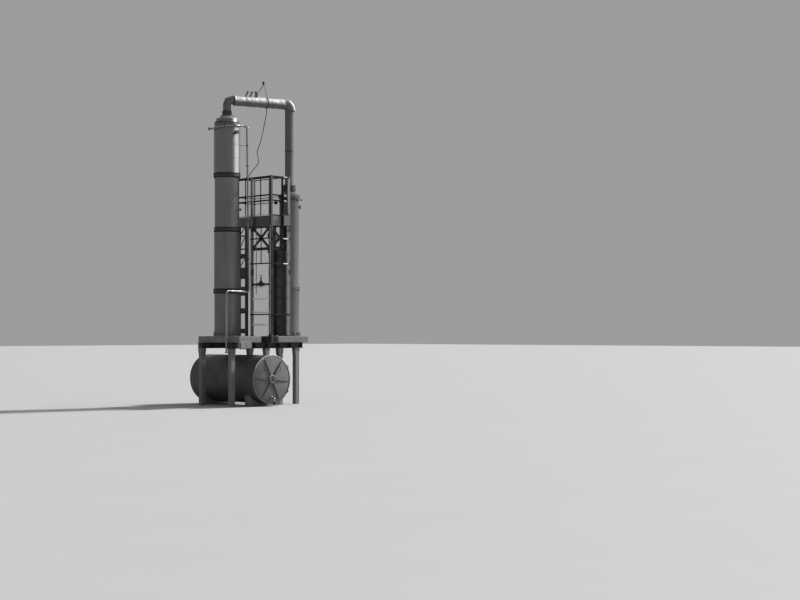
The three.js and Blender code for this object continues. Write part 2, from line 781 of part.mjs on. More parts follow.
// Points of the cable's route, chosen by hand: it hangs from the collar to the left guard rail
const cableRoute = [
  [1194.5, -388.9, 8788.8],
  [1192.8, -386.3, 8659.2],
  [1186.9, -377.3, 8592.4],
  [1178.7, -364.9, 8511.5],
  [1168.7, -349.7, 8419.4],
  [1157.2, -332.2, 8319.1],
  [1146.4, -315.7, 8226.5],
  [1133.8, -296.5, 8121.0],
  [1120.5, -276.4, 8013.1],
  [1107.6, -256.8, 7913.0],
  [1096.2, -239.4, 7831.1],
  [1072.4, -203.2, 7705.9],
  [1053.8, -175.0, 7624.7],
  [1035.2, -146.7, 7488.6],
  [1043.7, -159.5, 7387.0],
  [1058.9, -182.7, 7282.3],
  [1053.8, -175.0, 7184.3],
  [1025.0, -131.2, 7090.2],
  [974.2, -53.9, 6990.8],
  [928.4, 15.7, 6891.3],
  [899.6, 59.5, 6808.9],
  [883.5, 84.0, 6758.3],
  [883.5, 112.0, 6754.3],
  [883.5, 160.0, 6754.3],
];

function addCable() {
  const cableRadius = 12;
  const stations = cableRoute.map(([x, y, z]) => at(x, y, z));
  addPiece("lamp_cable", tubeThrough(stations, cableRadius, 8), cableBlack);
}

function addJunctionBox() {
  const box = block([-500, -60], [slabFront - 130, slabFront], [1665, 1885]);
  addPiece("junction_box", box, steelGrey);
}

// A disc or ring turned round the drum's axis, with its profile's heights measured along +Y
function onDrumAxis(geometry, y = 0) {
  return pointed(geometry, at(drum.x, y, drum.z), new THREE.Vector3(0, 1, 0));
}

function addDrum() {
  const { x, z, front, rear, radius, wall } = drum;
  const shellRing = turned([
    [radius - wall, front],
    [radius, front],
    [radius, rear],
    [radius - wall, rear],
    [radius - wall, front],
  ], 48);
  const gaugeNozzles = [1130, 420].map((height) => {
    const reach = 120;
    const depth = Math.sqrt(radius ** 2 - (height - z) ** 2);
    return rod(at(x + depth - 10, front + 90, height), at(x + depth + reach, front + 90, height), 36, 12);
  });
  addPiece("drum_shell", fused([onDrumAxis(shellRing), ...gaugeNozzles]), shellGrey);

  addPiece("drum_cover", coverGeometry(), shellGrey);

  const farHead = [];
  const depth = 230;
  const pieces = 8;
  for (let i = 0; i <= pieces; i++) {
    const angle = (Math.PI / 2) * (i / pieces);
    farHead.push([radius * Math.cos(angle), rear + seat + depth * Math.sin(angle)]);
  }
  farHead[pieces][0] = 0;
  addPiece("drum_far_head", onDrumAxis(turned([[0, rear + seat], ...farHead], 48)), shellGrey);

  for (const [name, y] of Object.entries({ front: -950, rear: 1050 })) {
    addPiece(`drum_saddle_${name}`, saddleGeometry(y), concrete);
  }
  addDrain();
}

// Flat end cover with a hub ring and radial ribs
function coverGeometry() {
  const rim = 712;
  const plate = 35;
  const back = drum.front - seat;
  const face = back - plate;
  const disc = onDrumAxis(turned([[0, face], [rim, face], [rim, back], [0, back]], 48));
  const hub = onDrumAxis(turned([[0, face - 42], [125, face - 42], [125, face + 5], [0, face + 5]], 24));
  const ribs = [];
  const ribCount = 6;
  for (let i = 0; i < ribCount; i++) {
    const angle = (2 * Math.PI * i) / ribCount - 0.09;
    const rib = new THREE.BoxGeometry(rim - 130, 40, 16).translate((rim - 10 + 110) / 2, 0, 0);
    rib.rotateY(-angle).translate(drum.x, face - 15, drum.z);
    ribs.push(rib);
  }
  return fused([disc, hub, ...ribs]);
}

function saddleGeometry(y) {
  const halfWidth = 560;
  const height = 330;
  const pieces = 14;
  const shape = new THREE.Shape();
  shape.moveTo(-halfWidth, 0);
  shape.lineTo(halfWidth, 0);
  shape.lineTo(halfWidth, height);
  const open = Math.asin((drum.z - height) / drum.radius);
  const step = (Math.PI - 2 * open) / pieces;
  const reach = (drum.radius + seat) / Math.cos(step / 2);
  for (let i = 0; i <= pieces; i++) {
    const angle = -open - step * i;
    shape.lineTo(reach * Math.cos(angle), drum.z + reach * Math.sin(angle));
  }
  shape.lineTo(-halfWidth, height);
  const saddle = new THREE.ExtrudeGeometry(shape, { depth: 200, bevelEnabled: false });
  return saddle.rotateX(Math.PI / 2).translate(drum.x, y + 100, 0);
}

// Drain line out of the cover's foot, turned down to a small valve
function addDrain() {
  const height = 250;
  const coverFace = drum.front - seat - 35;
  const out = coverFace - 110;
  const line = tubeThrough(
    roundedRoute([at(drum.x, coverFace - seat, height), at(drum.x, out, height), at(drum.x, out, 60)], 50),
    26,
    12,
  );
  const valve = turned([[0, 40], [42, 40], [42, 56], [28, 70], [48, 100], [28, 130], [0, 130]], 14);
  const wheel = rod(at(drum.x, out - 75, 100), at(drum.x, out - 90, 100), 42, 14);
  const stem = rod(at(drum.x, out, 100), at(drum.x, out - 80, 100), 9, 8);
  addPiece("drum_drain", fused([line, valve.translate(drum.x, out, 0), wheel, stem]), steelGrey);
}

addTable();
addMainColumn();
addOverheadLine();
addSecondColumn();
addSmallPipes();
addTower();
addLampAndCollar();
addJunctionBox();
addDrum();

// Origin at the middle of the unit's footprint, on the ground; the free cable doesn't count
const extent = new THREE.Box3().setFromObject(unit);
addCable();
unit.position.set(-(extent.min.x + extent.max.x) / 2, -(extent.min.y + extent.max.y) / 2, 0);

export default unit;
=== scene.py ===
import json
import math
from contextlib import contextmanager

import bmesh
import bpy
from mathutils import Matrix, Vector

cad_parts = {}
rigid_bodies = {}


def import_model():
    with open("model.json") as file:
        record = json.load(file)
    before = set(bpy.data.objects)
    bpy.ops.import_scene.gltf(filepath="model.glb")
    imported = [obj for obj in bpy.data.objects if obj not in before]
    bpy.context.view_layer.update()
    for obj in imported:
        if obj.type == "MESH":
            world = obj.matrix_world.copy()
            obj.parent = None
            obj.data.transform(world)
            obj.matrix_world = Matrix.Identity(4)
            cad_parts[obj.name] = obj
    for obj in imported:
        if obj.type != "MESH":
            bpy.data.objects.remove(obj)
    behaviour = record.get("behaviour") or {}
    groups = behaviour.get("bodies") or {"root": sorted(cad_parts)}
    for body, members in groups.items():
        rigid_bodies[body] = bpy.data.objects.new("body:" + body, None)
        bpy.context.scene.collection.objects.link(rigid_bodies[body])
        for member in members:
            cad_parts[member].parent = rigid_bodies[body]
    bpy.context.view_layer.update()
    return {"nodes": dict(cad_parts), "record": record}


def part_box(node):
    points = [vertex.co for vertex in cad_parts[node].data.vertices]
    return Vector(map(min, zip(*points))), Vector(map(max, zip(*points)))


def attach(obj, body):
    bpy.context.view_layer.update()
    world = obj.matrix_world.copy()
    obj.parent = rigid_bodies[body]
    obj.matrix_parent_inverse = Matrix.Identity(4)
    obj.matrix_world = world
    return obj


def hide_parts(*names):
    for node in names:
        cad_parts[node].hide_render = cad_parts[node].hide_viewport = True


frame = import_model()
print("stage: frame loaded,", len(frame["nodes"]), "nodes")

up, down = (0, 0, 1), (0, 0, -1)
toFront, toBack, toLeft, toRight = (0, -1, 0), (0, 1, 0), (-1, 0, 0), (1, 0, 0)
bothWays = (1, -1)
mergeReach = 0.00002

# Camera, level at eye height, with the unit left of the picture's middle
cameraView = {
    "place": (-28.94, -34.27, 2.12), "aimDegrees": -46.0, "lens": 67.5, "horizonPixel": 333, "frameSize": (800, 600),
    "farEnd": 400,
}


def makeCamera(values):
    cameraData = bpy.data.cameras.new("viewCamera")
    cameraData.lens = values["lens"]
    cameraData.clip_end = values["farEnd"]
    width, height = values["frameSize"]
    cameraData.shift_y = (values["horizonPixel"] - height / 2) / width
    camera = bpy.data.objects.new("viewCamera", cameraData)
    camera.location = values["place"]
    camera.rotation_euler = (math.radians(90), 0, math.radians(values["aimDegrees"]))
    bpy.context.scene.collection.objects.link(camera)
    bpy.context.scene.camera = camera


makeCamera(cameraView)

# Key from high on the right and slightly behind, a soft fill from the camera's side, pale surroundings
studio = {
    "lights": {"key": ((0.972, -0.229, 0.62), 6.5, 8.0), "side": ((0.72, -0.69, 0.34), 0.55, 30.0)},
    "surroundings": 0.335, "floorTone": 0.4, "floorReach": 180,
}


def makeStudio(values):
    bpy.context.scene.view_settings.view_transform = "Standard"
    world = bpy.data.worlds.new("studioWorld")
    world.use_nodes = True
    world.node_tree.nodes["Background"].inputs["Color"].default_value = (*[values["surroundings"]] * 3, 1)
    bpy.context.scene.world = world
    for name, (towards, strength, angleDegrees) in values["lights"].items():
        lightData = bpy.data.lights.new(name + "Light", "SUN")
        lightData.energy = strength
        lightData.angle = math.radians(angleDegrees)
        light = bpy.data.objects.new(name + "Light", lightData)
        light.rotation_euler = Vector(towards).to_track_quat("Z", "Y").to_euler()
        bpy.context.scene.collection.objects.link(light)


makeStudio(studio)

# Wiring helpers for node materials


def newFinish(name, roughness, metallic=0.0):
    finish = bpy.data.materials.new(name)
    finish.use_nodes = True
    shader = finish.node_tree.nodes["Principled BSDF"]
    shader.inputs["Roughness"].default_value = roughness
    shader.inputs["Metallic"].default_value = metallic
    return finish, finish.node_tree, shader


def addNode(tree, kind, **values):
    made = tree.nodes.new("ShaderNode" + kind)
    for name, value in values.items():
        if name in made.inputs:
            made.inputs[name].default_value = value
        else:
            setattr(made, name, value)
    return made


def feedNode(tree, source, kind, socket, result, **values):
    # A new node fed with one source, and its result
    made = addNode(tree, kind, **values)
    tree.links.new(source, made.inputs[socket])
    return made.outputs[result]


def objectPlace(tree, stretch=(1, 1, 1)):
    place = addNode(tree, "TexCoord").outputs["Object"]
    return feedNode(tree, place, "Mapping", "Vector", "Vector", Scale=stretch)


def noiseOver(tree, place, scale, detail=4.0, rough=0.55, distortion=0.0):
    return feedNode(tree, place, "TexNoise", "Vector", "Fac", Scale=scale, Detail=detail, Roughness=rough,
                    Distortion=distortion)


def steps(tree, source, low, high, toLow=0.0, toHigh=1.0):
    return feedNode(tree, source, "MapRange", "Value", "Result",
                    **{"From Min": low, "From Max": high, "To Min": toLow, "To Max": toHigh})


def maths(tree, operation, first, second):
    made = addNode(tree, "Math", operation=operation)
    for socket, value in zip(made.inputs, (first, second)):
        if isinstance(value, (int, float)):
            socket.default_value = value
        else:
            tree.links.new(value, socket)
    return made.outputs["Value"]


def blendTones(tree, amount, first, second):
    # A number stands for a grey
    mix = addNode(tree, "Mix", data_type="RGBA")
    for index, value in ((0, amount), (6, first), (7, second)):
        if isinstance(value, float):
            mix.inputs[index].default_value = (value, value, value, 1)
        else:
            tree.links.new(value, mix.inputs[index])
    return mix.outputs[2]


def addBump(tree, shader, height, strength, distance, under=None):
    bump = addNode(tree, "Bump", Strength=strength, Distance=distance)
    tree.links.new(height, bump.inputs["Height"])
    if under:
        tree.links.new(under, bump.inputs["Normal"])
    tree.links.new(bump.outputs["Normal"], shader.inputs["Normal"])
    return bump.outputs["Normal"]


# Greys of each paint, its gloss and wear. The last two columns paint light and shade: a tone and span for the faces
# that turn towards the key light, lighter or darker than the rest
paintParts = ("tone", "patch", "dirtAndShade", "chip", "chipAmount", "rough", "metallic", "streakScale", "dustAndSheenTone", "shine",
              "keySideTone", "keySideSpan")
paints = {
    # The first and fourth shell paints share one grey; on the key side the first is painted lighter (painted light)
    # and the fourth darker (painted shade)
    "litShellPaint": (0.165, 0.145, 0.1, 0.07, 0.28, (0.3, 0.38), 0.15, 9.0, 0.26, 0.5, 0.34, (0.11, 0.28)),
    "riserPaint": (0.125, 0.105, 0.07, 0.07, 0.28, (0.55, 0.66), 0.1, 12.0, 0.3, 0.3, 0.035, (0.05, 0.4)),
    # The elbow's paint: dark, with a painted highlight on its upward faces and on the key side
    "elbowFoil": (0.15, 0.12, 0.08, 0.07, 0.28, (0.5, 0.62), 0.1, 12.0, 0.8, 0.3, 0.9, (0.5, 0.72)),
    "shadedShellPaint": (0.165, 0.145, 0.095, 0.07, 0.29, (0.66, 0.78), 0.0, 9.0, 0.2, 0.25, 0.07, (0.02, 0.4)),
    "drumPaint": (0.082, 0.062, 0.034, 0.09, 0.32, (0.5, 0.66), 0.2, 7.0, 0.13),
    "coverPaint": (0.105, 0.088, 0.052, 0.05, 0.31, (0.62, 0.76), 0.1, 9.0, 0.2, 0.4),
    "darkSteel": (0.04, 0.028, 0.015, 0.09, 0.33, (0.5, 0.68), 0.1, 16.0, 0.1, 0.35),
    "postSteel": (0.17, 0.14, 0.08, 0.08, 0.33, (0.4, 0.55), 0.2, 20.0, 0.22),
    "railSteel": (0.02, 0.015, 0.008, 0.05, 0.33, (0.78, 0.88), 0.0, 26.0, 0.04, 0.08),
    "flangeSteel": (0.06, 0.042, 0.02, 0.12, 0.36, (0.52, 0.7), 0.3, 20.0, 0.13, 0.35),
    "pipeSteel": (0.27, 0.21, 0.1, 0.08, 0.32, (0.26, 0.38), 0.6, 18.0, 0.32),
    "fasciaPaint": (0.11, 0.085, 0.045, 0.16, 0.32, (0.36, 0.52), 0.2, 14.0, 0.2),
    # Pale paint used only for painted highlights on rails, ties, posts, fascia and the drum cover
    "highlightPaint": (0.86, 0.74, 0.45, 0.3, 0.3, (0.4, 0.55), 0.0, 24.0, 0.75),
    "conduitPaint": (0.37, 0.31, 0.18, 0.17, 0.3, (0.45, 0.6), 0.0, 24.0, 0.38),
    "lipPaint": (0.2, 0.16, 0.09, 0.12, 0.3, (0.45, 0.6), 0.0, 24.0, 0.26),
    "gratingSteel": (0.16, 0.11, 0.06, 0.22, 0.36, (0.45, 0.7), 0.5, 30.0, 0.22),
    "palePaint": (0.95, 0.88, 0.62, 0.35, 0.28, (0.3, 0.45), 0.0, 24.0, 0.9),
    "boxPaint": (0.18, 0.15, 0.09, 0.1, 0.32, (0.45, 0.6), 0.0, 20.0, 0.26),
    "opalGlass": (0.8, 0.72, 0.45, 0.6, 0.25, (0.12, 0.22), 0.0, 40.0, 0.7),
    "glassTube": (0.3, 0.24, 0.14, 0.2, 0.25, (0.08, 0.16), 0.0, 60.0, 0.35),
    "boltSteel": (0.075, 0.05, 0.03, 0.16, 0.38, (0.5, 0.66), 0.4, 40.0, 0.13),
    "gasketAndShade": (0.018, 0.013, 0.008, 0.03, 0.3, (0.7, 0.9), 0.0, 30.0, 0.05, 0.2),
}
# Direction of the key light, for the painted light and shade on faces turned towards it
keyLightSide = (0.827, -0.195, 0.528)


def paintedMetal(name, row):
    values = dict(zip(paintParts, row))
    finish, tree, shader = newFinish(name, 0.5, values["metallic"])
    place = objectPlace(tree)
    shader.inputs["Specular IOR Level"].default_value = values.get("shine", 0.5)
    cloud = noiseOver(tree, place, 1.3, 6.0)
    patches = blendTones(tree, steps(tree, cloud, 0.35, 0.68), values["tone"], values["patch"])
    runs = noiseOver(tree, objectPlace(tree, (1, 1, 0.06)), values["streakScale"], 5.0, 0.6)
    streaked = blendTones(tree, steps(tree, runs, 0.52, 0.78, 0.0, 0.75), patches, values["dirtAndShade"])
    chipNoise = noiseOver(tree, place, 26.0, 8.0, 0.68)
    chips = steps(tree, chipNoise, values["chipAmount"], values["chipAmount"] - 0.03)
    chipped = blendTones(tree, chips, streaked, values["chip"])
    facing = addNode(tree, "NewGeometry").outputs["Normal"]
    rise = feedNode(tree, facing, "SeparateXYZ", "Vector", "Z")
    upward = steps(tree, rise, 0.55, 1.0)
    # Upward faces take the dust tone: grey dust on most paints, a painted highlight on the elbow's paint
    dustAndSheenNoise = noiseOver(tree, place, 7.0, 5.0)
    dustAndSheen = maths(tree, "MULTIPLY", upward, steps(tree, dustAndSheenNoise, 0.3, 0.7, 0.15, 0.85))
    dustAndLightColour = blendTones(tree, dustAndSheen, chipped, values["dustAndSheenTone"])
    # Painted light and painted shade: faces turned towards the key light get a tone of their own, lighter or darker
    if "keySideTone" in values:
        toward = addNode(tree, "VectorMath", operation="DOT_PRODUCT")
        tree.links.new(facing, toward.inputs[0])
        toward.inputs[1].default_value = keyLightSide
        facingKey = steps(tree, toward.outputs["Value"], *values["keySideSpan"], 0.0, 0.92)
        dustAndLightColour = blendTones(tree, facingKey, dustAndLightColour, values["keySideTone"])
    # Downward faces darker: painted shade under things
    undersideShade = steps(tree, rise, -0.25, -0.85, 0.0, 0.7)
    tree.links.new(blendTones(tree, undersideShade, dustAndLightColour, values["dirtAndShade"]), shader.inputs["Base Color"])
    low, high = values["rough"]
    fine = noiseOver(tree, place, 90.0, 3.0)
    worn = maths(tree, "MAXIMUM", steps(tree, cloud, 0.3, 0.7, low, high), maths(tree, "MULTIPLY", dustAndSheen, high))
    tree.links.new(maths(tree, "ADD", worn, steps(tree, fine, 0.0, 1.0, -0.04, 0.04)), shader.inputs["Roughness"])
    brushed = addBump(tree, shader, fine, 0.18, 0.002)
    waved = addBump(tree, shader, noiseOver(tree, place, 5.0, 2.0), 0.16, 0.012, brushed)
    addBump(tree, shader, chips, 0.25, 0.0015, waved)
    return finish


finishes = {name: paintedMetal(name, row) for name, row in paints.items()}

foil = {"tone": 0.86, "patch": 0.74, "stain": 0.36, "undersideShade": 0.07, "rough": (0.5, 0.6), "dentScale": 3.2,
        "dentDepth": 0.03}


def cladFoil(name, values):
    finish, tree, shader = newFinish(name, 0.3, 0.75)
    place = objectPlace(tree)
    cloud = noiseOver(tree, place, 1.6, 5.0)
    sheets = blendTones(tree, steps(tree, cloud, 0.35, 0.7), values["tone"], values["patch"])
    stains = noiseOver(tree, objectPlace(tree, (1, 1, 0.25)), 6.0, 5.0, 0.6)
    stained = blendTones(tree, steps(tree, stains, 0.6, 0.85, 0.0, 0.6), sheets, values["stain"])
    spots = noiseOver(tree, place, 60.0, 4.0, 0.6)
    spotted = blendTones(tree, steps(tree, spots, 0.68, 0.76, 0.0, 0.3), stained, values["stain"])
    facing = addNode(tree, "NewGeometry").outputs["Normal"]
    # Faces from level downwards darkened almost to black: painted shade on the foil's underside
    undersideShade = steps(tree, feedNode(tree, facing, "SeparateXYZ", "Vector", "Z"), 0.22, -0.3, 0.0, 0.92)
    tree.links.new(blendTones(tree, undersideShade, spotted, values["undersideShade"]), shader.inputs["Base Color"])
    gloss = steps(tree, noiseOver(tree, place, 8.0, 4.0), 0.3, 0.7, *values["rough"])
    tree.links.new(gloss, shader.inputs["Roughness"])
    dents = noiseOver(tree, place, values["dentScale"], 2.0, 0.5, 0.4)
    dented = addBump(tree, shader, dents, 0.3, values["dentDepth"])
    addBump(tree, shader, noiseOver(tree, place, 40.0, 3.0), 0.1, 0.002, dented)
    return finish


castConcrete = {"tone": 0.2, "patch": 0.15, "stain": 0.09, "pore": 0.08, "boardHeight": 0.11}


def concreteFinish(name, values):
    finish, tree, shader = newFinish(name, 0.9)
    place = objectPlace(tree)
    cloud = noiseOver(tree, place, 2.2, 8.0, 0.62)
    body = blendTones(tree, steps(tree, cloud, 0.32, 0.7), values["tone"], values["patch"])
    runs = noiseOver(tree, objectPlace(tree, (1, 1, 0.09)), 11.0, 6.0, 0.6)
    stained = blendTones(tree, steps(tree, runs, 0.5, 0.8, 0.0, 0.8), body, values["stain"])
    sand = noiseOver(tree, place, 160.0, 4.0, 0.7)
    sanded = blendTones(tree, steps(tree, sand, 0.35, 0.65, 0.0, 0.35), stained, values["stain"])
    pits = feedNode(tree, place, "TexVoronoi", "Vector", "Distance", Scale=34.0, Randomness=1.0)
    holes = steps(tree, pits, 0.16, 0.06)
    pores = maths(tree, "MULTIPLY", holes, steps(tree, noiseOver(tree, place, 9.0, 2.0), 0.5, 0.6))
    pored = blendTones(tree, pores, sanded, values["pore"])
    boards = feedNode(tree, place, "TexWave", "Vector", "Fac", Scale=0.5 / values["boardHeight"], Distortion=0.4,
                      bands_direction="Z")
    lines = steps(tree, boards, 0.04, 0.0)
    lined = blendTones(tree, maths(tree, "MULTIPLY", lines, 0.5), pored, values["stain"])
    tree.links.new(lined, shader.inputs["Base Color"])
    tree.links.new(steps(tree, cloud, 0.3, 0.7, 0.78, 0.95), shader.inputs["Roughness"])
    grained = addBump(tree, shader, sand, 0.45, 0.002)
    pitted = addBump(tree, shader, maths(tree, "MULTIPLY", pores, -1.0), 0.7, 0.006, grained)
    addBump(tree, shader, maths(tree, "MULTIPLY", lines, -1.0), 0.4, 0.003, pitted)
    return finish


sheath = {"tone": 0.028, "wear": 0.075, "twistPitch": 0.012}


def cableSheath(name, values):
    finish, tree, shader = newFinish(name, 0.55)
    place = objectPlace(tree)
    scuffs = noiseOver(tree, place, 45.0, 6.0, 0.65)
    colour = blendTones(tree, steps(tree, scuffs, 0.5, 0.72), values["tone"], values["wear"])
    tree.links.new(colour, shader.inputs["Base Color"])
    tree.links.new(steps(tree, scuffs, 0.3, 0.7, 0.45, 0.7), shader.inputs["Roughness"])
    lay = feedNode(tree, place, "TexWave", "Vector", "Fac", Scale=0.5 / values["twistPitch"], Distortion=1.0,
                   bands_direction="DIAGONAL")
    addBump(tree, shader, lay, 0.3, 0.0008)
    return finish


finishes["foil"] = cladFoil("foil", foil)
finishes["concrete"] = concreteFinish("concrete", castConcrete)
finishes["sheath"] = cableSheath("sheath", sheath)
print("stage: finishes made,", len(finishes))

slotFinishes = {
    "shell_paint": "litShellPaint", "cladding": "foil", "dark_steel": "darkSteel", "pipe_steel": "pipeSteel",
    "drum_paint": "drumPaint", "concrete": "concrete", "cable": "sheath",
}
for part in frame["record"]["subparts"]:
    node = frame["nodes"][part["node"]]
    node.data.materials.clear()
    node.data.materials.append(finishes[slotFinishes[part["material_slot"]]])

# Modelling strokes in edit mode, each at its real place


def clearSelection():
    if bpy.context.object and bpy.context.object.mode == "EDIT":
        bpy.ops.object.mode_set(mode="OBJECT")
    bpy.ops.object.select_all(action="DESELECT")


def beginPiece(name, *finishNames):
    clearSelection()
    mesh = bpy.data.meshes.new(name)
    for finishName in finishNames:
        mesh.materials.append(finishes[finishName])
    piece = bpy.data.objects.new(name, mesh)
    bpy.context.scene.collection.objects.link(piece)
    bpy.context.view_layer.objects.active = piece
    piece.select_set(True)
    bpy.ops.object.mode_set(mode="EDIT")
    return piece


def editMesh():
    return bmesh.from_edit_mesh(bpy.context.object.data)


def selectShown():
    bpy.ops.mesh.select_mode(type="VERT")
    bpy.ops.mesh.select_all(action="SELECT")


@contextmanager
def onItsOwn():
    # Hides what is there, so that a new shape can be selected and copied alone
    bpy.ops.mesh.select_all(action="SELECT")
    bpy.ops.mesh.hide(unselected=False)
    yield
    bpy.ops.mesh.reveal(select=False)


def paintSelected(slotIndex):
    bpy.context.object.active_material_index = slotIndex
    bpy.ops.object.material_slot_assign()


def paintWhere(test, slotIndex):
    # Paints the faces whose middle passes the test
    bpy.ops.mesh.select_mode(type="FACE")
    bpy.ops.mesh.select_all(action="DESELECT")
    mesh = editMesh()
    for face in mesh.faces:
        if not face.hide and test(face.calc_center_median()):
            face.select = True
    mesh.select_flush_mode()
    bmesh.update_edit_mesh(bpy.context.object.data)
    paintSelected(slotIndex)
    bpy.ops.mesh.select_mode(type="VERT")


def softenEdges(width, limitDegrees=40):
    # Bevels the sharp edges of what is selected
    if not width:
        return
    mesh = editMesh()
    bpy.ops.mesh.select_mode(type="EDGE")
    chosen = [e for e in mesh.edges if e.select and len(e.link_faces) == 2
              and e.calc_face_angle(0) > math.radians(limitDegrees)]
    bpy.ops.mesh.select_all(action="DESELECT")
    for edge in chosen:
        edge.select = True
    mesh.select_flush_mode()
    bmesh.update_edit_mesh(bpy.context.object.data)
    bpy.ops.mesh.bevel(offset=width, segments=1, profile=0.6, clamp_overlap=True)
    bpy.ops.mesh.select_linked()
    bpy.ops.mesh.select_mode(type="VERT")


def lookAlong(direction):
    return Vector(direction).to_track_quat("Z", "Y")


def addCube(middle, rotation, size, edge, paint):
    bpy.ops.mesh.select_mode(type="VERT")
    bpy.ops.mesh.primitive_cube_add(size=1, location=middle, rotation=rotation, scale=size)
    paintSelected(paint)
    softenEdges(edge)


def addBlock(low, high, edge=0.0, paint=0, turn=0.0):
    # turn is the block's angle in plan, about its own middle
    addCube([(a + b) / 2 for a, b in zip(low, high)], (0, 0, turn), [b - a for a, b in zip(low, high)], edge, paint)


def addBar(start, end, width, depth, depthAxis, edge=0.0, paint=0):
    # A flat bar between two points, its thin side along the depth axis
    along = Vector(end) - Vector(start)
    thin = Vector(depthAxis).normalized()
    across = thin.cross(along.normalized()).normalized()
    turn = Matrix((across, thin, across.cross(thin))).transposed()
    addCube((Vector(start) + Vector(end)) / 2, turn.to_euler(), (width, depth, along.length), edge, paint)


def addRod(start, end, radius, sides=16, edge=0.0, paint=0):
    along = Vector(end) - Vector(start)
    bpy.ops.mesh.select_mode(type="VERT")
    bpy.ops.mesh.primitive_cylinder_add(vertices=sides, radius=radius, depth=along.length,
                                        location=(Vector(start) + Vector(end)) / 2,
                                        rotation=lookAlong(along).to_euler())
    paintSelected(paint)
    softenEdges(edge)


def extrudeBy(step):
    bpy.ops.mesh.extrude_region_move(TRANSFORM_OT_translate={"value": step})


def drawChain(places):
    # A chain of points, each extruded from the one before
    bpy.ops.mesh.select_mode(type="VERT")
    bpy.ops.mesh.primitive_plane_add(size=0.01, location=places[0])
    bpy.ops.mesh.merge(type="CENTER")
    next(v for v in editMesh().verts if v.select).co = places[0]
    for before, after in zip(places, places[1:]):
        extrudeBy(after - before)
    bpy.ops.mesh.select_linked()


def closeShape(paint, edge=0.0):
    bpy.ops.mesh.select_linked()
    bpy.ops.mesh.normals_make_consistent(inside=False)
    paintSelected(paint)
    softenEdges(edge)


def addTurned(profile, foot, sides=48, paint=0, axis=up):
    # An outline of radius and height, spun once round its axis
    turn = lookAlong(axis)
    drawChain([Vector(foot) + turn @ Vector((radius, 0, height)) for radius, height in profile])
    bpy.ops.mesh.spin(steps=sides, angle=2 * math.pi, center=foot, axis=turn @ Vector(up))
    bpy.ops.mesh.select_linked()
    bpy.ops.mesh.remove_doubles(threshold=mergeReach)
    closeShape(paint)


def addRing(inner, outer, low, high, foot, sides=48, paint=0, axis=up):
    addTurned([(inner, low), (outer, low), (outer, high), (inner, high), (inner, low)], foot, sides, paint, axis)


def addDisc(radius, thick, foot, sides=24, paint=0, axis=up):
    addTurned([(0, 0), (radius, 0), (radius, thick), (0, thick)], foot, sides, paint, axis)


def addPlate(outline, along, paint=0, edge=0.0):
    # A flat outline of points, filled and extruded
    drawChain([Vector(place) for place in outline])
    bpy.ops.mesh.edge_face_add()
    extrudeBy(along)
    closeShape(paint, edge)


def roundedRoute(corners, bend, pieces=6):
    # The corners of a route replaced by arcs of one radius
    corners = [Vector(corner) for corner in corners]
    stations = [corners[0]]
    for before, corner, after in zip(corners, corners[1:], corners[2:]):
        arriving = (corner - before).normalized()
        leaving = (after - corner).normalized()
        angle = arriving.angle(leaving)
        side = (leaving - arriving * leaving.dot(arriving)).normalized()
        start = corner - arriving * bend * math.tan(angle / 2)
        for k in range(pieces + 1):
            swept = angle * k / pieces
            stations.append(start + arriving * bend * math.sin(swept) + side * bend * (1 - math.cos(swept)))
    return stations + [corners[-1]]


def addPipe(stations, radius, sides=20, paint=0):
    # A round section extruded from station to station, its ring laid in each corner's mitre plane
    stations = [Vector(station) for station in stations]
    bpy.ops.mesh.select_mode(type="VERT")
    bpy.ops.mesh.primitive_circle_add(vertices=sides, radius=radius, fill_type="NGON", location=stations[0],
                                      rotation=lookAlong(stations[1] - stations[0]).to_euler())
    for i in range(1, len(stations)):
        arriving = (stations[i] - stations[i - 1]).normalized()
        leaving = (stations[min(i + 1, len(stations) - 1)] - stations[i]).normalized()
        extrudeBy(stations[i] - stations[i - 1])
        mitre = (arriving + leaving).normalized()
        for corner in (v for v in editMesh().verts if v.select):
            corner.co -= arriving * ((corner.co - stations[i]).dot(mitre) / arriving.dot(mitre))
    bmesh.update_edit_mesh(bpy.context.object.data)
    closeShape(paint)


def spinCopies(count, centre, axis=up):
    # What is shown, repeated at even steps round an axis
    selectShown()
    bpy.ops.mesh.spin(steps=count - 1, dupli=True, angle=2 * math.pi * (count - 1) / count, center=centre, axis=axis)


def copiesBy(moves):
    # What is shown, and a copy after each move from the last
    selectShown()
    for step in moves:
        bpy.ops.mesh.duplicate_move(TRANSFORM_OT_translate={"value": step})


def addBolt(place, axis, size, reach, paint):
    # A hexagon head on a washer, with a bit of thread standing out
    out, foot = Vector(axis).normalized(), Vector(place)
    addRod(foot - out * 0.002, foot + out * reach * 0.14, size * 1.1, 10, 0, paint)
    addRod(foot + out * reach * 0.14, foot + out * reach * 0.66, size * 0.95, 6, size * 0.12, paint)
    addRod(foot + out * reach * 0.6, foot + out * reach, size * 0.45, 6, 0, paint)


def boltCircle(count, centre, radius, axis, size, reach, start=0.0, paint=1):
    arm = lookAlong(axis) @ Vector((radius * math.cos(start), radius * math.sin(start), 0))
    with onItsOwn():
        addBolt(Vector(centre) + arm, axis, size, reach, paint)
        spinCopies(count, centre, axis)


def boltsAt(places, axis, size, reach, paint=1):
    # One bolt, copied to each further place
    with onItsOwn():
        addBolt(places[0], axis, size, reach, paint)
        copiesBy([Vector(after) - Vector(before) for before, after in zip(places, places[1:])])


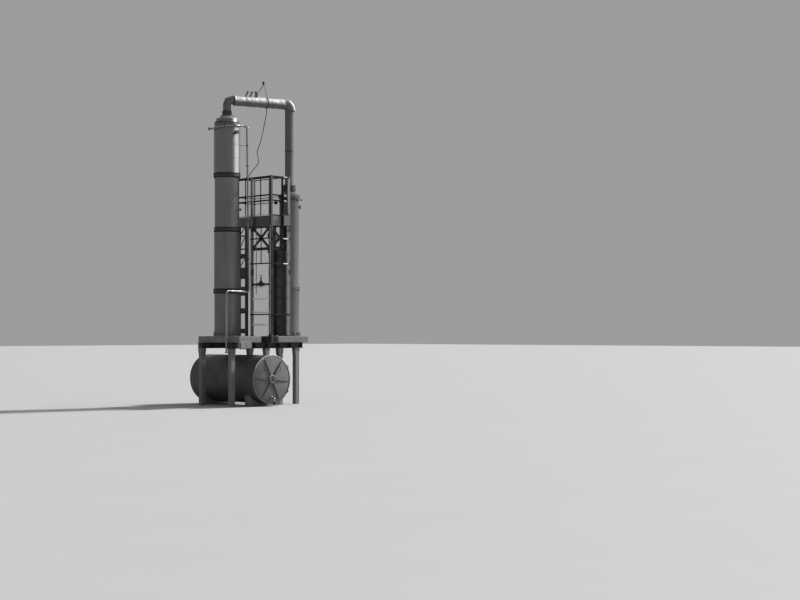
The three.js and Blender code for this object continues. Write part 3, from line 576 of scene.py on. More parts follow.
def finishPiece(piece, slotName, *nodes, smoothDegrees=35):
    selectShown()
    bpy.ops.mesh.remove_doubles(threshold=mergeReach)
    bpy.ops.mesh.normals_make_consistent(inside=False)
    bpy.ops.object.mode_set(mode="OBJECT")
    bpy.ops.object.shade_smooth_by_angle(angle=math.radians(smoothDegrees))
    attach(piece, "root")
    if nodes:
        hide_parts(*nodes)
    clearSelection()
    triangles = sum(len(face.vertices) - 2 for face in piece.data.polygons)
    print("stage:", piece.name, "made,", triangles, "triangles")


def pressBy(piece, name, size, detail, depth, middle):
    # Moves the surface by a cloud pattern
    clearSelection()
    clouds = bpy.data.textures.new(name, "CLOUDS")
    clouds.noise_scale = size
    clouds.noise_depth = detail
    press = piece.modifiers.new("press", "DISPLACE")
    press.texture = clouds
    press.texture_coords = "LOCAL"
    press.strength = depth
    press.mid_level = middle
    bpy.context.view_layer.objects.active = piece
    piece.select_set(True)
    bpy.ops.object.modifier_apply(modifier="press")
    clearSelection()


# Shared places in plan: the two columns' axes, the line between them, and the level direction of the nozzles
layout = {
    "mainAxis": (-0.817, -0.0575), "secondAxis": (1.073, -0.6725), "nozzleAngle": math.atan2(-0.657, 0.754),
}
mainToSecond = Vector(layout["secondAxis"]) - Vector(layout["mainAxis"])
lineLength, lineDirection = mainToSecond.length, mainToSecond.normalized().to_3d()


def aroundAxis(axis, radius, angle, height):
    return Vector((axis[0] + radius * math.cos(angle), axis[1] + radius * math.sin(angle), height))


def onLine(distance, height):
    # A place over the line from the main axis to the second one
    return Vector((*layout["mainAxis"], height)) + lineDirection * distance


def shellProfile(bottom, top, radius, footRadius, topRadius, wall, flange):
    edge, hub = 0.004, 0.007
    return [
        (radius - wall, bottom), (footRadius - edge, bottom), (footRadius, bottom + edge),
        (footRadius, bottom + flange - edge), (footRadius - edge, bottom + flange),
        (radius + hub, bottom + flange), (radius, bottom + flange + 0.022),
        (radius, top - flange - 0.022), (radius + hub, top - flange),
        (topRadius - edge, top - flange), (topRadius, top - flange + edge),
        (topRadius, top - edge - 0.003), (topRadius - edge, top - 0.003),
        (radius - wall, top - 0.003), (radius - wall, bottom),
    ]


def addWeldBead(axis, radius, height, paint=0, sides=72, half=0.008, proud=0.004):
    addTurned([(radius - 0.003, -half), (radius + proud * 0.7, -half * 0.6), (radius + proud, 0),
               (radius + proud * 0.7, half * 0.6), (radius - 0.003, half), (radius - 0.003, -half)],
              (*axis, height), sides, paint)


def addBlackRing(axis, radius, height, sides, half):
    addRing(radius - 0.03, radius, -half, half, (*axis, height), sides, 1)


def addNozzle(axis, shellRadius, angle, height, pipeRadius, reach, bolts=6, paint=0):
    # Neck with a weld ring at its foot, a flange pair and the bolts of its blind cover
    out = Vector((math.cos(angle), math.sin(angle), 0))
    foot = aroundAxis(axis, shellRadius - 0.02, angle, height)
    wide = pipeRadius * 1.5
    mouth = reach + 0.02
    addTurned([(0, 0), (pipeRadius * 1.3, 0), (pipeRadius * 1.25, 0.024), (pipeRadius, 0.034),
               (pipeRadius, mouth - 0.034), (wide - 0.002, mouth - 0.03), (wide, mouth - 0.028),
               (wide, mouth - 0.018), (wide * 0.93, mouth - 0.017), (wide * 0.93, mouth - 0.015),
               (wide, mouth - 0.014), (wide, mouth - 0.002), (wide - 0.002, mouth), (0, mouth)], foot, 28, paint, out)
    boltCircle(bolts, foot + out * (mouth - 0.001), wide * 0.78, out, pipeRadius * 0.17, 0.01, 0.3, 2)


def addFootGussets(axis, base, ring, count, outer, lip, tall, boltRadius, boltReach):
    # Triangular gussets with an anchor bolt between each two
    with onItsOwn():
        addPlate([(axis[0] + reach, axis[1] - 0.004, ring + rise) for reach, rise in (
            (base - 0.003, 0), (outer, 0), (outer, lip), (base + 0.004, tall), (base - 0.003, tall))],
                 (0, 0.008, 0), 0, 0.0015)
        spinCopies(count, (*axis, 0))
    boltCircle(count, (*axis, ring), boltRadius, up, 0.01, boltReach, math.pi / count, 2)


def axisDistance(place, axis):
    return math.hypot(place.x - axis[0], place.y - axis[1])


mainColumn = {
    "joints": [2.03, 3.345, 5.14, 6.73, 8.25], "radii": [0.365, 0.375, 0.357, 0.385],
    "flangeRadii": [0.398, 0.4, 0.382, 0.394, 0.368], "neck": 0.345, "wall": 0.012, "flange": 0.034,
    "flangeBolts": 32, "boltSize": 0.0115, "baseGussets": 18,
    "seams": [(0.365, 2.72), (0.375, 4.21), (0.357, 5.93), (0.385, 7.232), (0.385, 7.634)],
    "upperNozzle": {"height": 5.74, "pipeRadius": 0.026, "reach": 0.06},
    "topNozzle": {"height": 7.97, "pipeRadius": 0.04, "reach": 0.09}, "topNozzleTurn": 48,
}


def makeMainColumn(values):
    axis, angle = layout["mainAxis"], layout["nozzleAngle"]
    ground = (*axis, 0)
    joints, radii, rims = values["joints"], values["radii"], values["flangeRadii"]
    flange, wall, neck = values["flange"], values["wall"], values["neck"]
    piece = beginPiece("mainColumnShells", "shadedShellPaint", "gasketAndShade", "boltSteel", "flangeSteel", "litShellPaint")
    for i in range(3):
        addTurned(shellProfile(joints[i], joints[i + 1], radii[i], rims[i], rims[i + 1], wall, flange), ground, 72)
    radius, foot, rim, headRim = radii[3], joints[3], rims[3], rims[4]
    addTurned([
        (radius - wall, foot), (rim - 0.004, foot), (rim, foot + 0.004), (rim, foot + flange - 0.004),
        (rim - 0.004, foot + flange), (radius + 0.006, foot + flange), (radius, foot + flange + 0.02),
        (radius, 8.128), (radius - 0.004, 8.142), (radius - 0.016, 8.155), (neck + 0.006, 8.167), (neck, 8.175),
        (neck, 8.206), (neck + 0.006, 8.216), (headRim - 0.003, 8.216), (headRim, 8.219), (headRim, 8.243),
        (headRim - 0.003, 8.246), (neck - wall, 8.246), (neck - wall, 8.158), (radius - wall, 8.128),
        (radius - wall, foot),
    ], ground, 72, 4)
    for height, shellRadius in zip(joints[1:4], radii):
        paintWhere(lambda c: abs(c.z - height) < flange + 0.023 and axisDistance(c, axis) > shellRadius + 0.002, 3)
    for height, flangeRadius in zip(joints[1:], rims[1:]):
        addBlackRing(axis, flangeRadius - 0.007, height - 0.0015, 72, 0.0025)
    # Near-black bands under and over each bolted joint, behind the bolts: painted shade of the flanges
    for height, low, high in zip(joints[1:4], radii, radii[1:]):
        addBlackRing(axis, low + 0.009, height - flange - 0.019, 72, 0.0185)
        addBlackRing(axis, high + 0.009, height + flange + 0.018, 72, 0.0175)
    for seamRadius, height in values["seams"]:
        addWeldBead(axis, seamRadius, height, 4 if height > foot else 0)
    for height, flangeRadius in zip(joints[1:4], rims[1:4]):
        for side in bothWays:
            boltCircle(values["flangeBolts"], (*axis, height + side * flange), flangeRadius - 0.0145, (0, 0, side),
                       values["boltSize"], 0.042, 0.05, 2)
    boltCircle(28, (*axis, 8.216), headRim - 0.011, down, 0.0085, 0.026, paint=2)
    addFootGussets(axis, radii[0], joints[0] + flange, values["baseGussets"], 0.393, 0.018, 0.13, 0.3815, 0.04)
    addNozzle(axis, radii[2], angle, **values["upperNozzle"])
    addNozzle(axis, radius, angle - math.radians(values["topNozzleTurn"]), **values["topNozzle"], bolts=8, paint=3)
    finishPiece(piece, "shell_paint", "main_shell_base", "main_shell_lower", "main_shell_upper", "main_shell_top")

    head = beginPiece("mainColumnHead", "litShellPaint", "gasketAndShade", "boltSteel", "flangeSteel")
    addTurned([
        (neck - wall, 8.251), (headRim - 0.003, 8.251), (headRim, 8.254), (headRim, 8.28), (headRim - 0.003, 8.284),
        (0.325, 8.284), (0.318, 8.294), (0.318, 8.386), (0.314, 8.396), (0.3, 8.404), (0.215, 8.437),
        (0.199, 8.446), (0.196, 8.455), (0.196, 8.476), (0.19, 8.482), (0.162, 8.482), (0.157, 8.487),
        (0.131, 8.543), (0.129, 8.552), (0.142, 8.558), (0.142, 8.587), (0.1, 8.587), (0.1, 8.482),
        (0.18, 8.436), (0.306, 8.384), (0.306, 8.284), (neck - wall, 8.251),
    ], ground, 72)
    paintWhere(lambda c: c.z > 8.481 or (c.z < 8.286 and axisDistance(c, axis) > 0.327), 3)
    addWeldBead(axis, 0.318, 8.34, 0, 72, 0.006, 0.003)
    addBlackRing(axis, 0.139, 8.5885, 48, 0.0022)
    boltCircle(28, (*axis, 8.284), headRim - 0.0125, up, 0.0095, 0.03, paint=2)
    boltCircle(16, (*axis, 8.482), 0.178, up, 0.008, 0.022, paint=2)
    boltCircle(12, (*axis, 8.558), 0.1355, down, 0.006, 0.014, paint=2)
    finishPiece(head, "shell_paint", "main_head")


makeMainColumn(mainColumn)

overheadLine = {
    "riserRadius": 0.117, "riserHeight": 8.968, "mitreReach": 0.15, "runRadius": 0.1465, "runHeight": 8.95,
    "runStart": 0.2155, "elbowSeam": 0.17, "sheetLength": 0.4, "lapProud": 0.0025, "dentDepth": 0.016,
    "dentSize": 0.2, "straps": (0.3, 0.59, 0.86, 1.07, 1.45, 1.7), "stubs": [(0.575, 0.668), (0.716, 0.8)],
    "stubRadius": 0.02, "vent": 0.94, "stay": 1.288, "lampDistance": 1.16, "lampHeight": 9.5,
    "downRadius": 0.128, "downFoot": 6.53,
}


def makeRiser(values):
    piece = beginPiece("overheadRiser", "riserPaint", "gasketAndShade", "boltSteel", "flangeSteel")
    axis, radius = layout["mainAxis"], values["riserRadius"]
    high, reach = values["riserHeight"], values["mitreReach"]
    addPipe([(*axis, 8.618), (*axis, high - reach), onLine(reach * 0.3, high - reach * 0.3), onLine(reach, high),
             onLine(0.225, high)], radius, 48)
    addTurned([(radius - 0.01, 8.59), (0.139, 8.59), (0.142, 8.593), (0.142, 8.619), (0.139, 8.622),
               (radius + 0.006, 8.622), (radius - 0.001, 8.64), (radius - 0.01, 8.64), (radius - 0.01, 8.59)],
              (*axis, 0), 48, 3)
    boltCircle(12, (*axis, 8.622), 0.1325, up, 0.0075, 0.022, paint=2)
    addWeldBead(axis, radius, 8.79, 0, 48, 0.006, 0.003)
    addTurned([(radius - 0.004, -0.005), (radius + 0.003, 0), (radius - 0.004, 0.005), (radius - 0.004, -0.005)],
              onLine(reach + 0.01, high), axis=lineDirection)
    finishPiece(piece, "shell_paint", "overhead_riser", smoothDegrees=24)


def makeCladRun(values):
    # Sheets with a rolled lap, their surface dented by hand and weather
    start, height, radius = values["runStart"], values["runHeight"], values["runRadius"]
    end = lineLength - values["elbowSeam"] - 0.0005
    piece = beginPiece("cladSheets", "foil", "gasketAndShade")
    distance = start
    while distance < end - 0.02:
        lap = min(distance + values["sheetLength"], end)
        if end - lap < 0.15:
            lap = end
        rows = max(4, round((lap - distance) / 0.022))
        outer = [(radius + (values["lapProud"] if k < 2 else 0), (lap - distance) * k / rows) for k in range(rows + 1)]
        addTurned([(radius - 0.004, 0), *outer, (radius - 0.004, lap - distance), (radius - 0.004, 0)],
                  onLine(distance, height), 80, axis=lineDirection)
        distance = lap
    finishPiece(piece, "cladding", "overhead_run")
    pressBy(piece, "sheetDents", values["dentSize"], 2, values["dentDepth"], 0.52)

    fittings = beginPiece("runFittings", "foil", "boltSteel", "gasketAndShade", "darkSteel", "litShellPaint")
    # End closures with a dark joint where the bare riser comes out
    addDisc(radius - 0.003, 0.004, onLine(start + 0.002, height), 48, 2, lineDirection)
    addRing(0.119, 0.136, -0.006, 0.006, onLine(start, height + 0.01), 40, 2, lineDirection)
    # Straps with a buckle, one near each lap
    for place in values["straps"]:
        addRing(radius - 0.0045, radius + 0.0035, -0.008, 0.008, onLine(place, height), 64, 0, lineDirection)
        buckle = onLine(place, height - 0.05) + lineDirection.cross(Vector(up)) * (radius - 0.006)
        addRod(buckle - lineDirection * 0.016, buckle + lineDirection * 0.016, 0.009, 8, 0.002, 1)
    # Leaning stubs with a cap and a collar at the cladding
    stub = values["stubRadius"]
    for foot, tip in values["stubs"]:
        low, high = onLine(foot, height + radius - 0.012), onLine(tip, height + radius + 0.162)
        lean, tall = (high - low).normalized(), (high - low).length
        addTurned([(0, 0), (stub, 0), (stub, tall - 0.03), (stub + 0.005, tall - 0.028), (stub + 0.005, tall - 0.004),
                   (stub, tall), (0, tall)], low, 20, 3, lean)
        addTurned([(0, 0.004), (stub + 0.014, 0.012), (stub + 0.014, 0.02), (stub - 0.002, 0.03), (0, 0.03)], low,
                  20, 0, lean)
    # Vent nozzle with its flange and domed cover
    foot = onLine(values["vent"], height + radius - 0.012)
    addTurned([(0, 0), (0.07, 0), (0.07, 0.022), (0.058, 0.032), (0.058, 0.132), (0.063, 0.146), (0.068, 0.148),
               (0.07, 0.15), (0.07, 0.157), (0.065, 0.158), (0.065, 0.16), (0.07, 0.161), (0.07, 0.167),
               (0.067, 0.169), (0.048, 0.185), (0.03, 0.19), (0, 0.192)], foot, 36, 4)
    boltCircle(8, foot + Vector((0, 0, 0.168)), 0.0585, up, 0.006, 0.014, 0.2)
    # Strut to the lamp and thin stay behind it
    tip = onLine(values["lampDistance"], values["lampHeight"])
    addRod(onLine(values["vent"] + 0.05, 9.246), tip, 0.01, 12, 0, 3)
    addRod(tip, onLine(values["stay"], height + radius - 0.01), 0.007, 10, 0, 3)
    addTurned([(0, -0.016), (0.01, -0.016), (0.013, -0.01), (0.013, 0.011), (0, 0.012)], tip, 16, 3)
    addTurned([(0, -0.004), (0.018, -0.004), (0.018, 0.004), (0.009, 0.012), (0, 0.012)],
              onLine(values["stay"], height + radius + 0.002), 14, 1)
    finishPiece(fittings, "cladding", smoothDegrees=40)


def makeDownPipe(values):
    piece = beginPiece("overheadDownPipe", "riserPaint", "elbowFoil", "boltSteel", "gasketAndShade", "flangeSteel")
    axis, radius, foot = layout["secondAxis"], values["downRadius"], values["downFoot"]
    addTurned([(0, foot - 0.08), (0.195, foot - 0.08), (0.198, foot - 0.077), (0.198, foot - 0.045),
               (0.19, foot - 0.043), (0.19, foot - 0.037), (0.198, foot - 0.035), (0.198, foot - 0.003),
               (0.195, foot), (radius + 0.02, foot), (radius + 0.004, foot + 0.03), (radius, foot + 0.045),
               (radius, 8.8), (0, 8.8)], (*axis, 0), 56)
    paintWhere(lambda c: c.z < foot + 0.046, 4)
    boltCircle(16, (*axis, foot), 0.172, up, 0.012, 0.034, 0.1, 2)
    for height in (7.18, 7.96):
        addWeldBead(axis, radius, height, 0, 56, 0.006, 0.003)
    # Clamp ring with its two ears
    addRing(radius - 0.004, radius + 0.007, -0.022, 0.022, (*axis, 7.56), 56, 2)
    for turn in (0.9, 0.9 - math.pi):
        ear = aroundAxis(axis, radius + 0.022, turn, 7.56)
        addBlock(ear - Vector((0.022, 0.01, 0.02)), ear + Vector((0.022, 0.01, 0.02)), 0.003, 2, 0.9)
    # Clad elbow in three mitred gores over the pipe's top
    reach, seam, high = lineLength, values["elbowSeam"], values["runHeight"]
    addPipe([onLine(reach - seam, high), onLine(reach - 0.062, high), onLine(reach + 0.004, 8.885),
             onLine(reach + 0.03, 8.795), onLine(reach + 0.03, 8.768)], 0.15, 56, 1)
    addRing(0.146, 0.1535, -0.004, 0.01, onLine(reach - seam + 0.01, high), 56, 1, lineDirection)
    addRing(0.128, 0.1525, -0.004, 0.01, onLine(reach + 0.03, 8.768), 56, 1)
    finishPiece(piece, "shell_paint", "overhead_down_pipe", smoothDegrees=22)


makeRiser(overheadLine)
makeCladRun(overheadLine)
makeDownPipe(overheadLine)

secondColumn = {
    "foot": 2.03, "joint": 3.44, "top": 6.19, "radii": [0.3, 0.292], "footRadius": 0.345,
    "flangeRadius": 0.322, "wall": 0.01, "flange": 0.034, "flangeBolts": 24, "boltSize": 0.0105,
    "seams": [(0.3, 2.74), (0.292, 4.32), (0.292, 5.3)], "inletRadius": 0.198, "baseGussets": 14,
    "nozzle": {"height": 5.89, "pipeRadius": 0.038, "reach": 0.05},
}


def makeSecondColumn(values):
    axis, top, joint = layout["secondAxis"], values["top"], values["joint"]
    ground = (*axis, 0)
    base, radius = values["radii"]
    wall, flange, rim = values["wall"], values["flange"], values["flangeRadius"]

    def rimBolts(height, way):
        boltCircle(values["flangeBolts"], (*axis, height), rim - 0.0125, way, values["boltSize"], 0.03, 0.1, 2)

    piece = beginPiece("secondColumnShells", "shadedShellPaint", "gasketAndShade", "boltSteel")
    addTurned(shellProfile(values["foot"], joint, base, values["footRadius"], rim, wall, flange), ground, 64)
    addTurned(shellProfile(joint, top, radius, rim, rim, wall, flange), ground, 64)
    for height in (joint, top):
        addBlackRing(axis, rim - 0.006, height - 0.0015, 64, 0.0025)
        rimBolts(height - flange, down)
    rimBolts(joint + flange, up)
    for seamRadius, height in values["seams"]:
        addWeldBead(axis, seamRadius, height, 0, 64)
    addFootGussets(axis, base, values["foot"] + flange, values["baseGussets"], 0.338, 0.016, 0.11, 0.323, 0.036)
    addNozzle(axis, radius, layout["nozzleAngle"], **values["nozzle"])
    finishPiece(piece, "shell_paint", "second_shell_lower", "second_shell_upper")

    head = beginPiece("secondColumnHead", "shadedShellPaint", "gasketAndShade", "boltSteel", "flangeSteel")
    inlet = values["inletRadius"]
    addTurned([
        (radius - wall, top + 0.001), (rim - 0.003, top + 0.001), (rim, top + 0.004), (rim, top + flange - 0.003),
        (rim - 0.003, top + flange), (radius + 0.006, top + flange), (radius, top + flange + 0.012),
        (radius - 0.006, top + 0.056), (radius - 0.018, top + 0.071), (radius - 0.034, top + 0.084),
        (0.16, top + 0.168), (0.151, top + 0.174), (0.15, top + 0.18), (inlet - 0.003, top + 0.18),
        (inlet, top + 0.183), (inlet, top + 0.215), (inlet - 0.006, top + 0.217), (inlet - 0.006, top + 0.223),
        (inlet, top + 0.225), (inlet, top + 0.254), (inlet - 0.003, top + 0.257), (0.11, top + 0.257),
        (0.11, top + 0.18), (radius - 0.042, top + 0.07), (radius - wall, top + 0.001),
    ], ground, 64)
    paintWhere(lambda c: c.z > top + 0.178, 3)
    addBlackRing(axis, inlet - 0.006, top + 0.2585, 48, 0.0022)
    rimBolts(top + flange, up)
    boltCircle(16, (*axis, top + 0.18), 0.172, down, 0.011, 0.03, 0.1, 2)
    finishPiece(head, "shell_paint", "second_head")


makeSecondColumn(secondColumn)

smallPipes = {
    "feedRadius": 0.028, "feedLeft": 8.1, "feedRight": 8.186, "hug": 0.4133, "bend": 0.085,
    "reachLeft": 0.55, "reachRight": 0.584, "lean": 0.072, "crossHeight": 3.33,
    "edgeDrop": (-1.387, -0.7235), "edgeFoot": 1.54, "clampHeights": [7.62, 6.62, 5.42, 4.3],
    "ringRadius": 0.02, "ringHug": 0.311, "ringHeight": 6.108,
}


def arcStations(axis, radius, start, end, low, high, count):
    step = (end - start) / count
    reach = radius / math.cos(step / 2)
    return [aroundAxis(axis, reach, start + step * i, low + (high - low) * i / count) for i in range(count + 1)]


def addPipeFlange(place, direction, radius, wide=0):
    # A pair of flanges with the bolts between their rims
    wide = wide or radius * 1.75
    addTurned([(radius - 0.004, -0.022), (radius + 0.006, -0.016), (wide - 0.002, -0.014), (wide, -0.012),
               (wide, -0.002), (wide - 0.004, -0.001), (wide - 0.004, 0.001), (wide, 0.002), (wide, 0.012),
               (wide - 0.002, 0.014), (radius + 0.006, 0.016), (radius - 0.004, 0.022), (radius - 0.004, -0.022)],
              place, 28, axis=direction)
    for side in bothWays:
        face = Vector(place) + Vector(direction).normalized() * 0.014 * side
        boltCircle(6, face, (radius + wide) / 2, Vector(direction) * side, radius * 0.17, 0.012, 0.2)


def clampStations(stations, chosen, radius, sides):
    # Thin clamps between two stations of a ring pipe
    for k in chosen:
        addRing(radius - 0.002, radius + 0.004, -0.012, 0.012, stations[k].lerp(stations[k + 1], 0.5), sides, 2,
                stations[k + 1] - stations[k])


def makeFeedPipe(values):
    piece = beginPiece("feedPipe", "pipeSteel", "boltSteel", "darkSteel")
    axis, angle, radius = layout["mainAxis"], layout["nozzleAngle"], values["feedRadius"]
    hug, left, right = values["hug"], values["feedLeft"], values["feedRight"]
    outward = Vector((math.cos(angle), math.sin(angle), 0))
    drop = aroundAxis(axis, values["reachRight"], angle, right)
    edge = values["edgeDrop"]
    stub = [aroundAxis(axis, reach, angle - math.pi, left) for reach in (values["reachLeft"], hug + 0.06)]
    ring = arcStations(axis, hug, angle - math.pi + 0.3, angle - 0.3, left, right, 28)
    corner = Vector((drop.x + values["lean"], drop.y, values["crossHeight"]))
    fall = roundedRoute([aroundAxis(axis, hug + 0.06, angle, right), drop, corner,
                         (*edge, values["crossHeight"]), (*edge, values["edgeFoot"] + 0.02)], values["bend"])
    addPipe(stub + ring + fall, radius)
    addPipeFlange(aroundAxis(axis, values["reachLeft"] - 0.022, angle - math.pi, left), outward, radius)
    for t in (0.24, 0.62):
        addPipeFlange(drop.lerp(corner, t), corner - drop, radius)
    addPipeFlange((*edge, 2.62), up, radius, wide=0.044)
    addTurned([(0, 0), (0.043, 0), (0.046, 0.003), (0.046, 0.022), (0.043, 0.025), (0.029, 0.032), (0, 0.032)],
              (*edge, values["edgeFoot"]), 28)
    boltCircle(6, (*edge, values["edgeFoot"] + 0.024), 0.037, up, 0.005, 0.012, 0.2)
    # Standoff clamps that hold the drop line to the column's flanks
    for height in values["clampHeights"]:
        place = drop.lerp(corner, (drop.z - height) / (drop.z - corner.z))
        addRing(radius - 0.002, radius + 0.006, -0.016, 0.016, place, 20, 2)
        inward = Vector((axis[0] - place.x, axis[1] - place.y, 0))
        toShell = inward.normalized() * (inward.length - 0.365)
        addBar(place + inward.normalized() * radius, place + toShell, 0.03, 0.008, up, 0.001, 2)
    clampStations(ring, (4, 12, 20, 26), radius, 20)
    finishPiece(piece, "pipe_steel", "feed_pipe", smoothDegrees=50)

    second = layout["secondAxis"]
    small = beginPiece("secondRingPipe", "flangeSteel", "boltSteel", "darkSteel")
    ringHug, height, thin = values["ringHug"], values["ringHeight"], values["ringRadius"]
    stations = arcStations(second, ringHug, angle - 2.6, angle - 0.3, height, height, 24)
    addPipe(stations + [aroundAxis(second, reach, angle, height) for reach in (ringHug + 0.04, 0.38)], thin, 18)
    addTurned([(0, 0), (0.032, 0), (0.034, 0.002), (0.034, 0.012), (0.032, 0.014), (0, 0.014)],
              aroundAxis(second, 0.366, angle, height), 24, axis=outward)
    clampStations(stations, (3, 11, 19), thin, 18)
    finishPiece(small, "pipe_steel", "second_ring_pipe", smoothDegrees=50)


makeFeedPipe(smallPipes)

drum = {
    "x": -0.297, "z": 0.775, "front": -1.4175, "rear": 1.4225, "radius": 0.7, "wall": 0.014, "rim": 0.712,
    "cover": 0.035, "hub": 0.125, "ribs": 6, "ribTurn": 0.09, "rimBolts": 40,
    "seams": [-1.05, -0.45, 0.15, 0.75, 1.25], "gaugeHeights": [1.13, 0.42], "gaugeRow": -1.3275,
    "saddleRows": [-1.0075, 0.9925], "fit": 0.0003,
}


def addHandwheel(centre, axis, radius, thick, spokes, paint):
    # Rim, hub and spokes of a valve's wheel
    centre, out = Vector(centre), Vector(axis).normalized()
    ring = [(radius + thick * math.cos(a * math.pi / 4), thick * math.sin(a * math.pi / 4)) for a in range(8)]
    addTurned([*ring, ring[0]], centre, 32, paint, out)
    addTurned([(0, -thick), (radius * 0.24, -thick), (radius * 0.28, 0), (radius * 0.22, thick * 1.2),
               (0, thick * 1.2)], centre, 16, paint, out)
    arm = lookAlong(out) @ Vector((radius, 0, 0))
    with onItsOwn():
        addRod(centre + arm * 0.1, centre + arm, thick * 0.62, 8, 0, paint)
        spinCopies(spokes, centre, out)


def turnShown(angle, centre, axis):
    # Turns what is shown with the sign that a hand would give
    turn = Matrix.Rotation(angle, 3, Vector(axis))
    selectShown()
    for corner in (v for v in editMesh().verts if v.select):
        corner.co = centre + turn @ (corner.co - centre)
    bmesh.update_edit_mesh(bpy.context.object.data)


def makeDrum(values):
    x, z, radius = values["x"], values["z"], values["radius"]
    front, rear, wall, rim = values["front"], values["rear"], values["wall"], values["rim"]
    foot = Vector((x, 0, z))

    def turned(profile, sides=96, paint=0):
        addTurned(profile, foot, sides, paint, toBack)

    def axisReach(place):
        return math.hypot(place.x - x, place.z - z)

    shell = beginPiece("drumShell", "drumPaint", "gasketAndShade", "boltSteel", "glassTube")
    turned([(radius - wall, front + 0.003), (rim - 0.003, front + 0.003), (rim, front + 0.006), (rim, front + 0.036),
            (rim - 0.003, front + 0.039), (radius + 0.003, front + 0.041), (radius, front + 0.055),
            (radius, rear - 0.002), (radius - 0.002, rear), (radius - wall, rear), (radius - wall, front + 0.003)])
    addRing(0.66, 0.704, front - 0.001, front + 0.004, foot, 96, 1, toBack)
    for row in values["seams"]:
        addTurned([(radius - 0.003, -0.01), (radius + 0.003, -0.006), (radius + 0.004, 0), (radius + 0.003, 0.006),
                   (radius - 0.003, 0.01), (radius - 0.003, -0.01)], (x, row, z), 96, axis=toBack)
    addBlock((x - 0.009, front + 0.05, z + radius - 0.003), (x + 0.009, rear - 0.01, z + radius + 0.003), 0.002)
    boltCircle(values["rimBolts"], (x, front + 0.039, z), 0.7045, toBack, 0.006, 0.02, paint=2)
    row = values["gaugeRow"]
    for height in values["gaugeHeights"]:
        depth = math.sqrt(radius ** 2 - (height - z) ** 2)
        start = x + depth - 0.01
        addTurned([(0, 0), (0.046, 0), (0.044, 0.016), (0.036, 0.026), (0.036, 0.088), (0.05, 0.092), (0.052, 0.094),
                   (0.052, 0.104), (0.048, 0.105), (0.048, 0.107), (0.052, 0.108), (0.052, 0.118), (0.05, 0.12),
                   (0.02, 0.13), (0, 0.13)], (start, row, height), 28, axis=toRight)
        boltCircle(6, (start + 0.119, row, height), 0.041, toRight, 0.005, 0.01, 0.2, 2)
        addDisc(0.014, 0.03, (x + depth + 0.096, row, height), 14, 2, toRight)
    # Level glass between the two gauge nozzles, with its guard rods
    glass = x + 0.6033 + 0.09
    low, high = values["gaugeHeights"][1] - 0.02, values["gaugeHeights"][0] + 0.02
    addRod((glass, row, low + 0.08), (glass, row, high - 0.08), 0.012, 16, 0, 3)
    for end, way in ((low, up), (high, down)):
        addTurned([(0, 0), (0.018, 0), (0.02, 0.006), (0.02, 0.074), (0.024, 0.078), (0.024, 0.094), (0.013, 0.1),
                   (0, 0.1)], (glass, row, end), 20, 2, way)
    for turn in range(4):
        spot = aroundAxis((glass, row), 0.021, math.pi / 4 + turn * math.pi / 2, 0)
        addRod((spot.x, spot.y, low + 0.08), (spot.x, spot.y, high - 0.08), 0.003, 8, 0, 2)
    finishPiece(shell, "drum_paint", "drum_shell")

    cover = beginPiece("drumCover", "coverPaint", "drumPaint", "boltSteel", "highlightPaint")
    back, hub = front - values["fit"], values["hub"]
    face = back - values["cover"]
    turned([(0, face), (0.64, face), (0.648, face + 0.003), (0.654, face + 0.01), (rim - 0.012, face + 0.01),
            (rim - 0.01, face + 0.002), (rim - 0.003, face + 0.002), (rim, face + 0.005), (rim, back - 0.003),
            (rim - 0.003, back), (0, back)])
    boltCircle(values["rimBolts"], (x, face + 0.01, z), 0.677, toFront, 0.0115, 0.02, 0.04, 0)
    # Upper rim and the rim bolts there in pale paint: a painted highlight on the top of the cover's rim
    paintWhere(lambda c: c.y < face + 0.0095 and c.z > z + 0.36 and axisReach(c) > 0.66, 3)
    turned([(0, face - 0.034), (hub - 0.045, face - 0.034), (hub - 0.04, face - 0.042), (hub - 0.004, face - 0.042),
            (hub, face - 0.038), (hub, face - 0.004), (hub + 0.01, face + 0.002), (0, face + 0.002)], 48)
    # Top of the hub ring in pale paint: a painted highlight on its upper face
    paintWhere(lambda c: c.y < face - 0.003 and c.z > z + 0.078 and axisReach(c) > hub - 0.02, 3)
    boltCircle(8, (x, face - 0.042, z), hub - 0.022, toFront, 0.01, 0.018, 0.2, 2)
    turned([(0, face - 0.062), (0.016, face - 0.062), (0.022, face - 0.056), (0.024, face - 0.034),
            (0, face - 0.034)], 24, 2)
    # One tapered rib, repeated round the cover
    half = 0.0065
    with onItsOwn():
        addPlate([(x + reach, face + rise, z - half) for reach, rise in (
            (hub - 0.012, 0.003), (0.65, 0.003), (0.65, -0.008), (0.6, -0.02), (hub + 0.05, -0.034),
            (hub - 0.012, -0.034))], (0, 0, 2 * half), 1, 0.002)
        turnShown(values["ribTurn"], foot, toBack)
        spinCopies(values["ribs"], foot, toBack)
    for side in (x + 0.3, x - 0.3):
        addPipe(roundedRoute([(side, face + 0.002, z + 0.36), (side, face - 0.035, z + 0.36),
                              (side, face - 0.035, z + 0.24), (side, face + 0.002, z + 0.24)], 0.018, 4), 0.007, 10, 2)
    finishPiece(cover, "drum_paint", "drum_cover")

    head = beginPiece("drumFarHead", "drumPaint", "boltSteel")
    start = rear + values["fit"]
    curve = [(radius * math.cos(math.pi / 36 * k), start + 0.23 * math.sin(math.pi / 36 * k)) for k in range(18)]
    turned([(0, start), (radius - 0.012, start), *curve, (0, start + 0.23)])
    turned([(radius - 0.004, start), (radius + 0.005, start), (radius + 0.005, start + 0.03),
            (radius - 0.006, start + 0.034), (radius - 0.004, start)])
    boltCircle(3, (x, start + 0.19, z), 0.4, toBack, 0.012, 0.03, 0.5)
    finishPiece(head, "drum_paint", "drum_far_head", smoothDegrees=45)


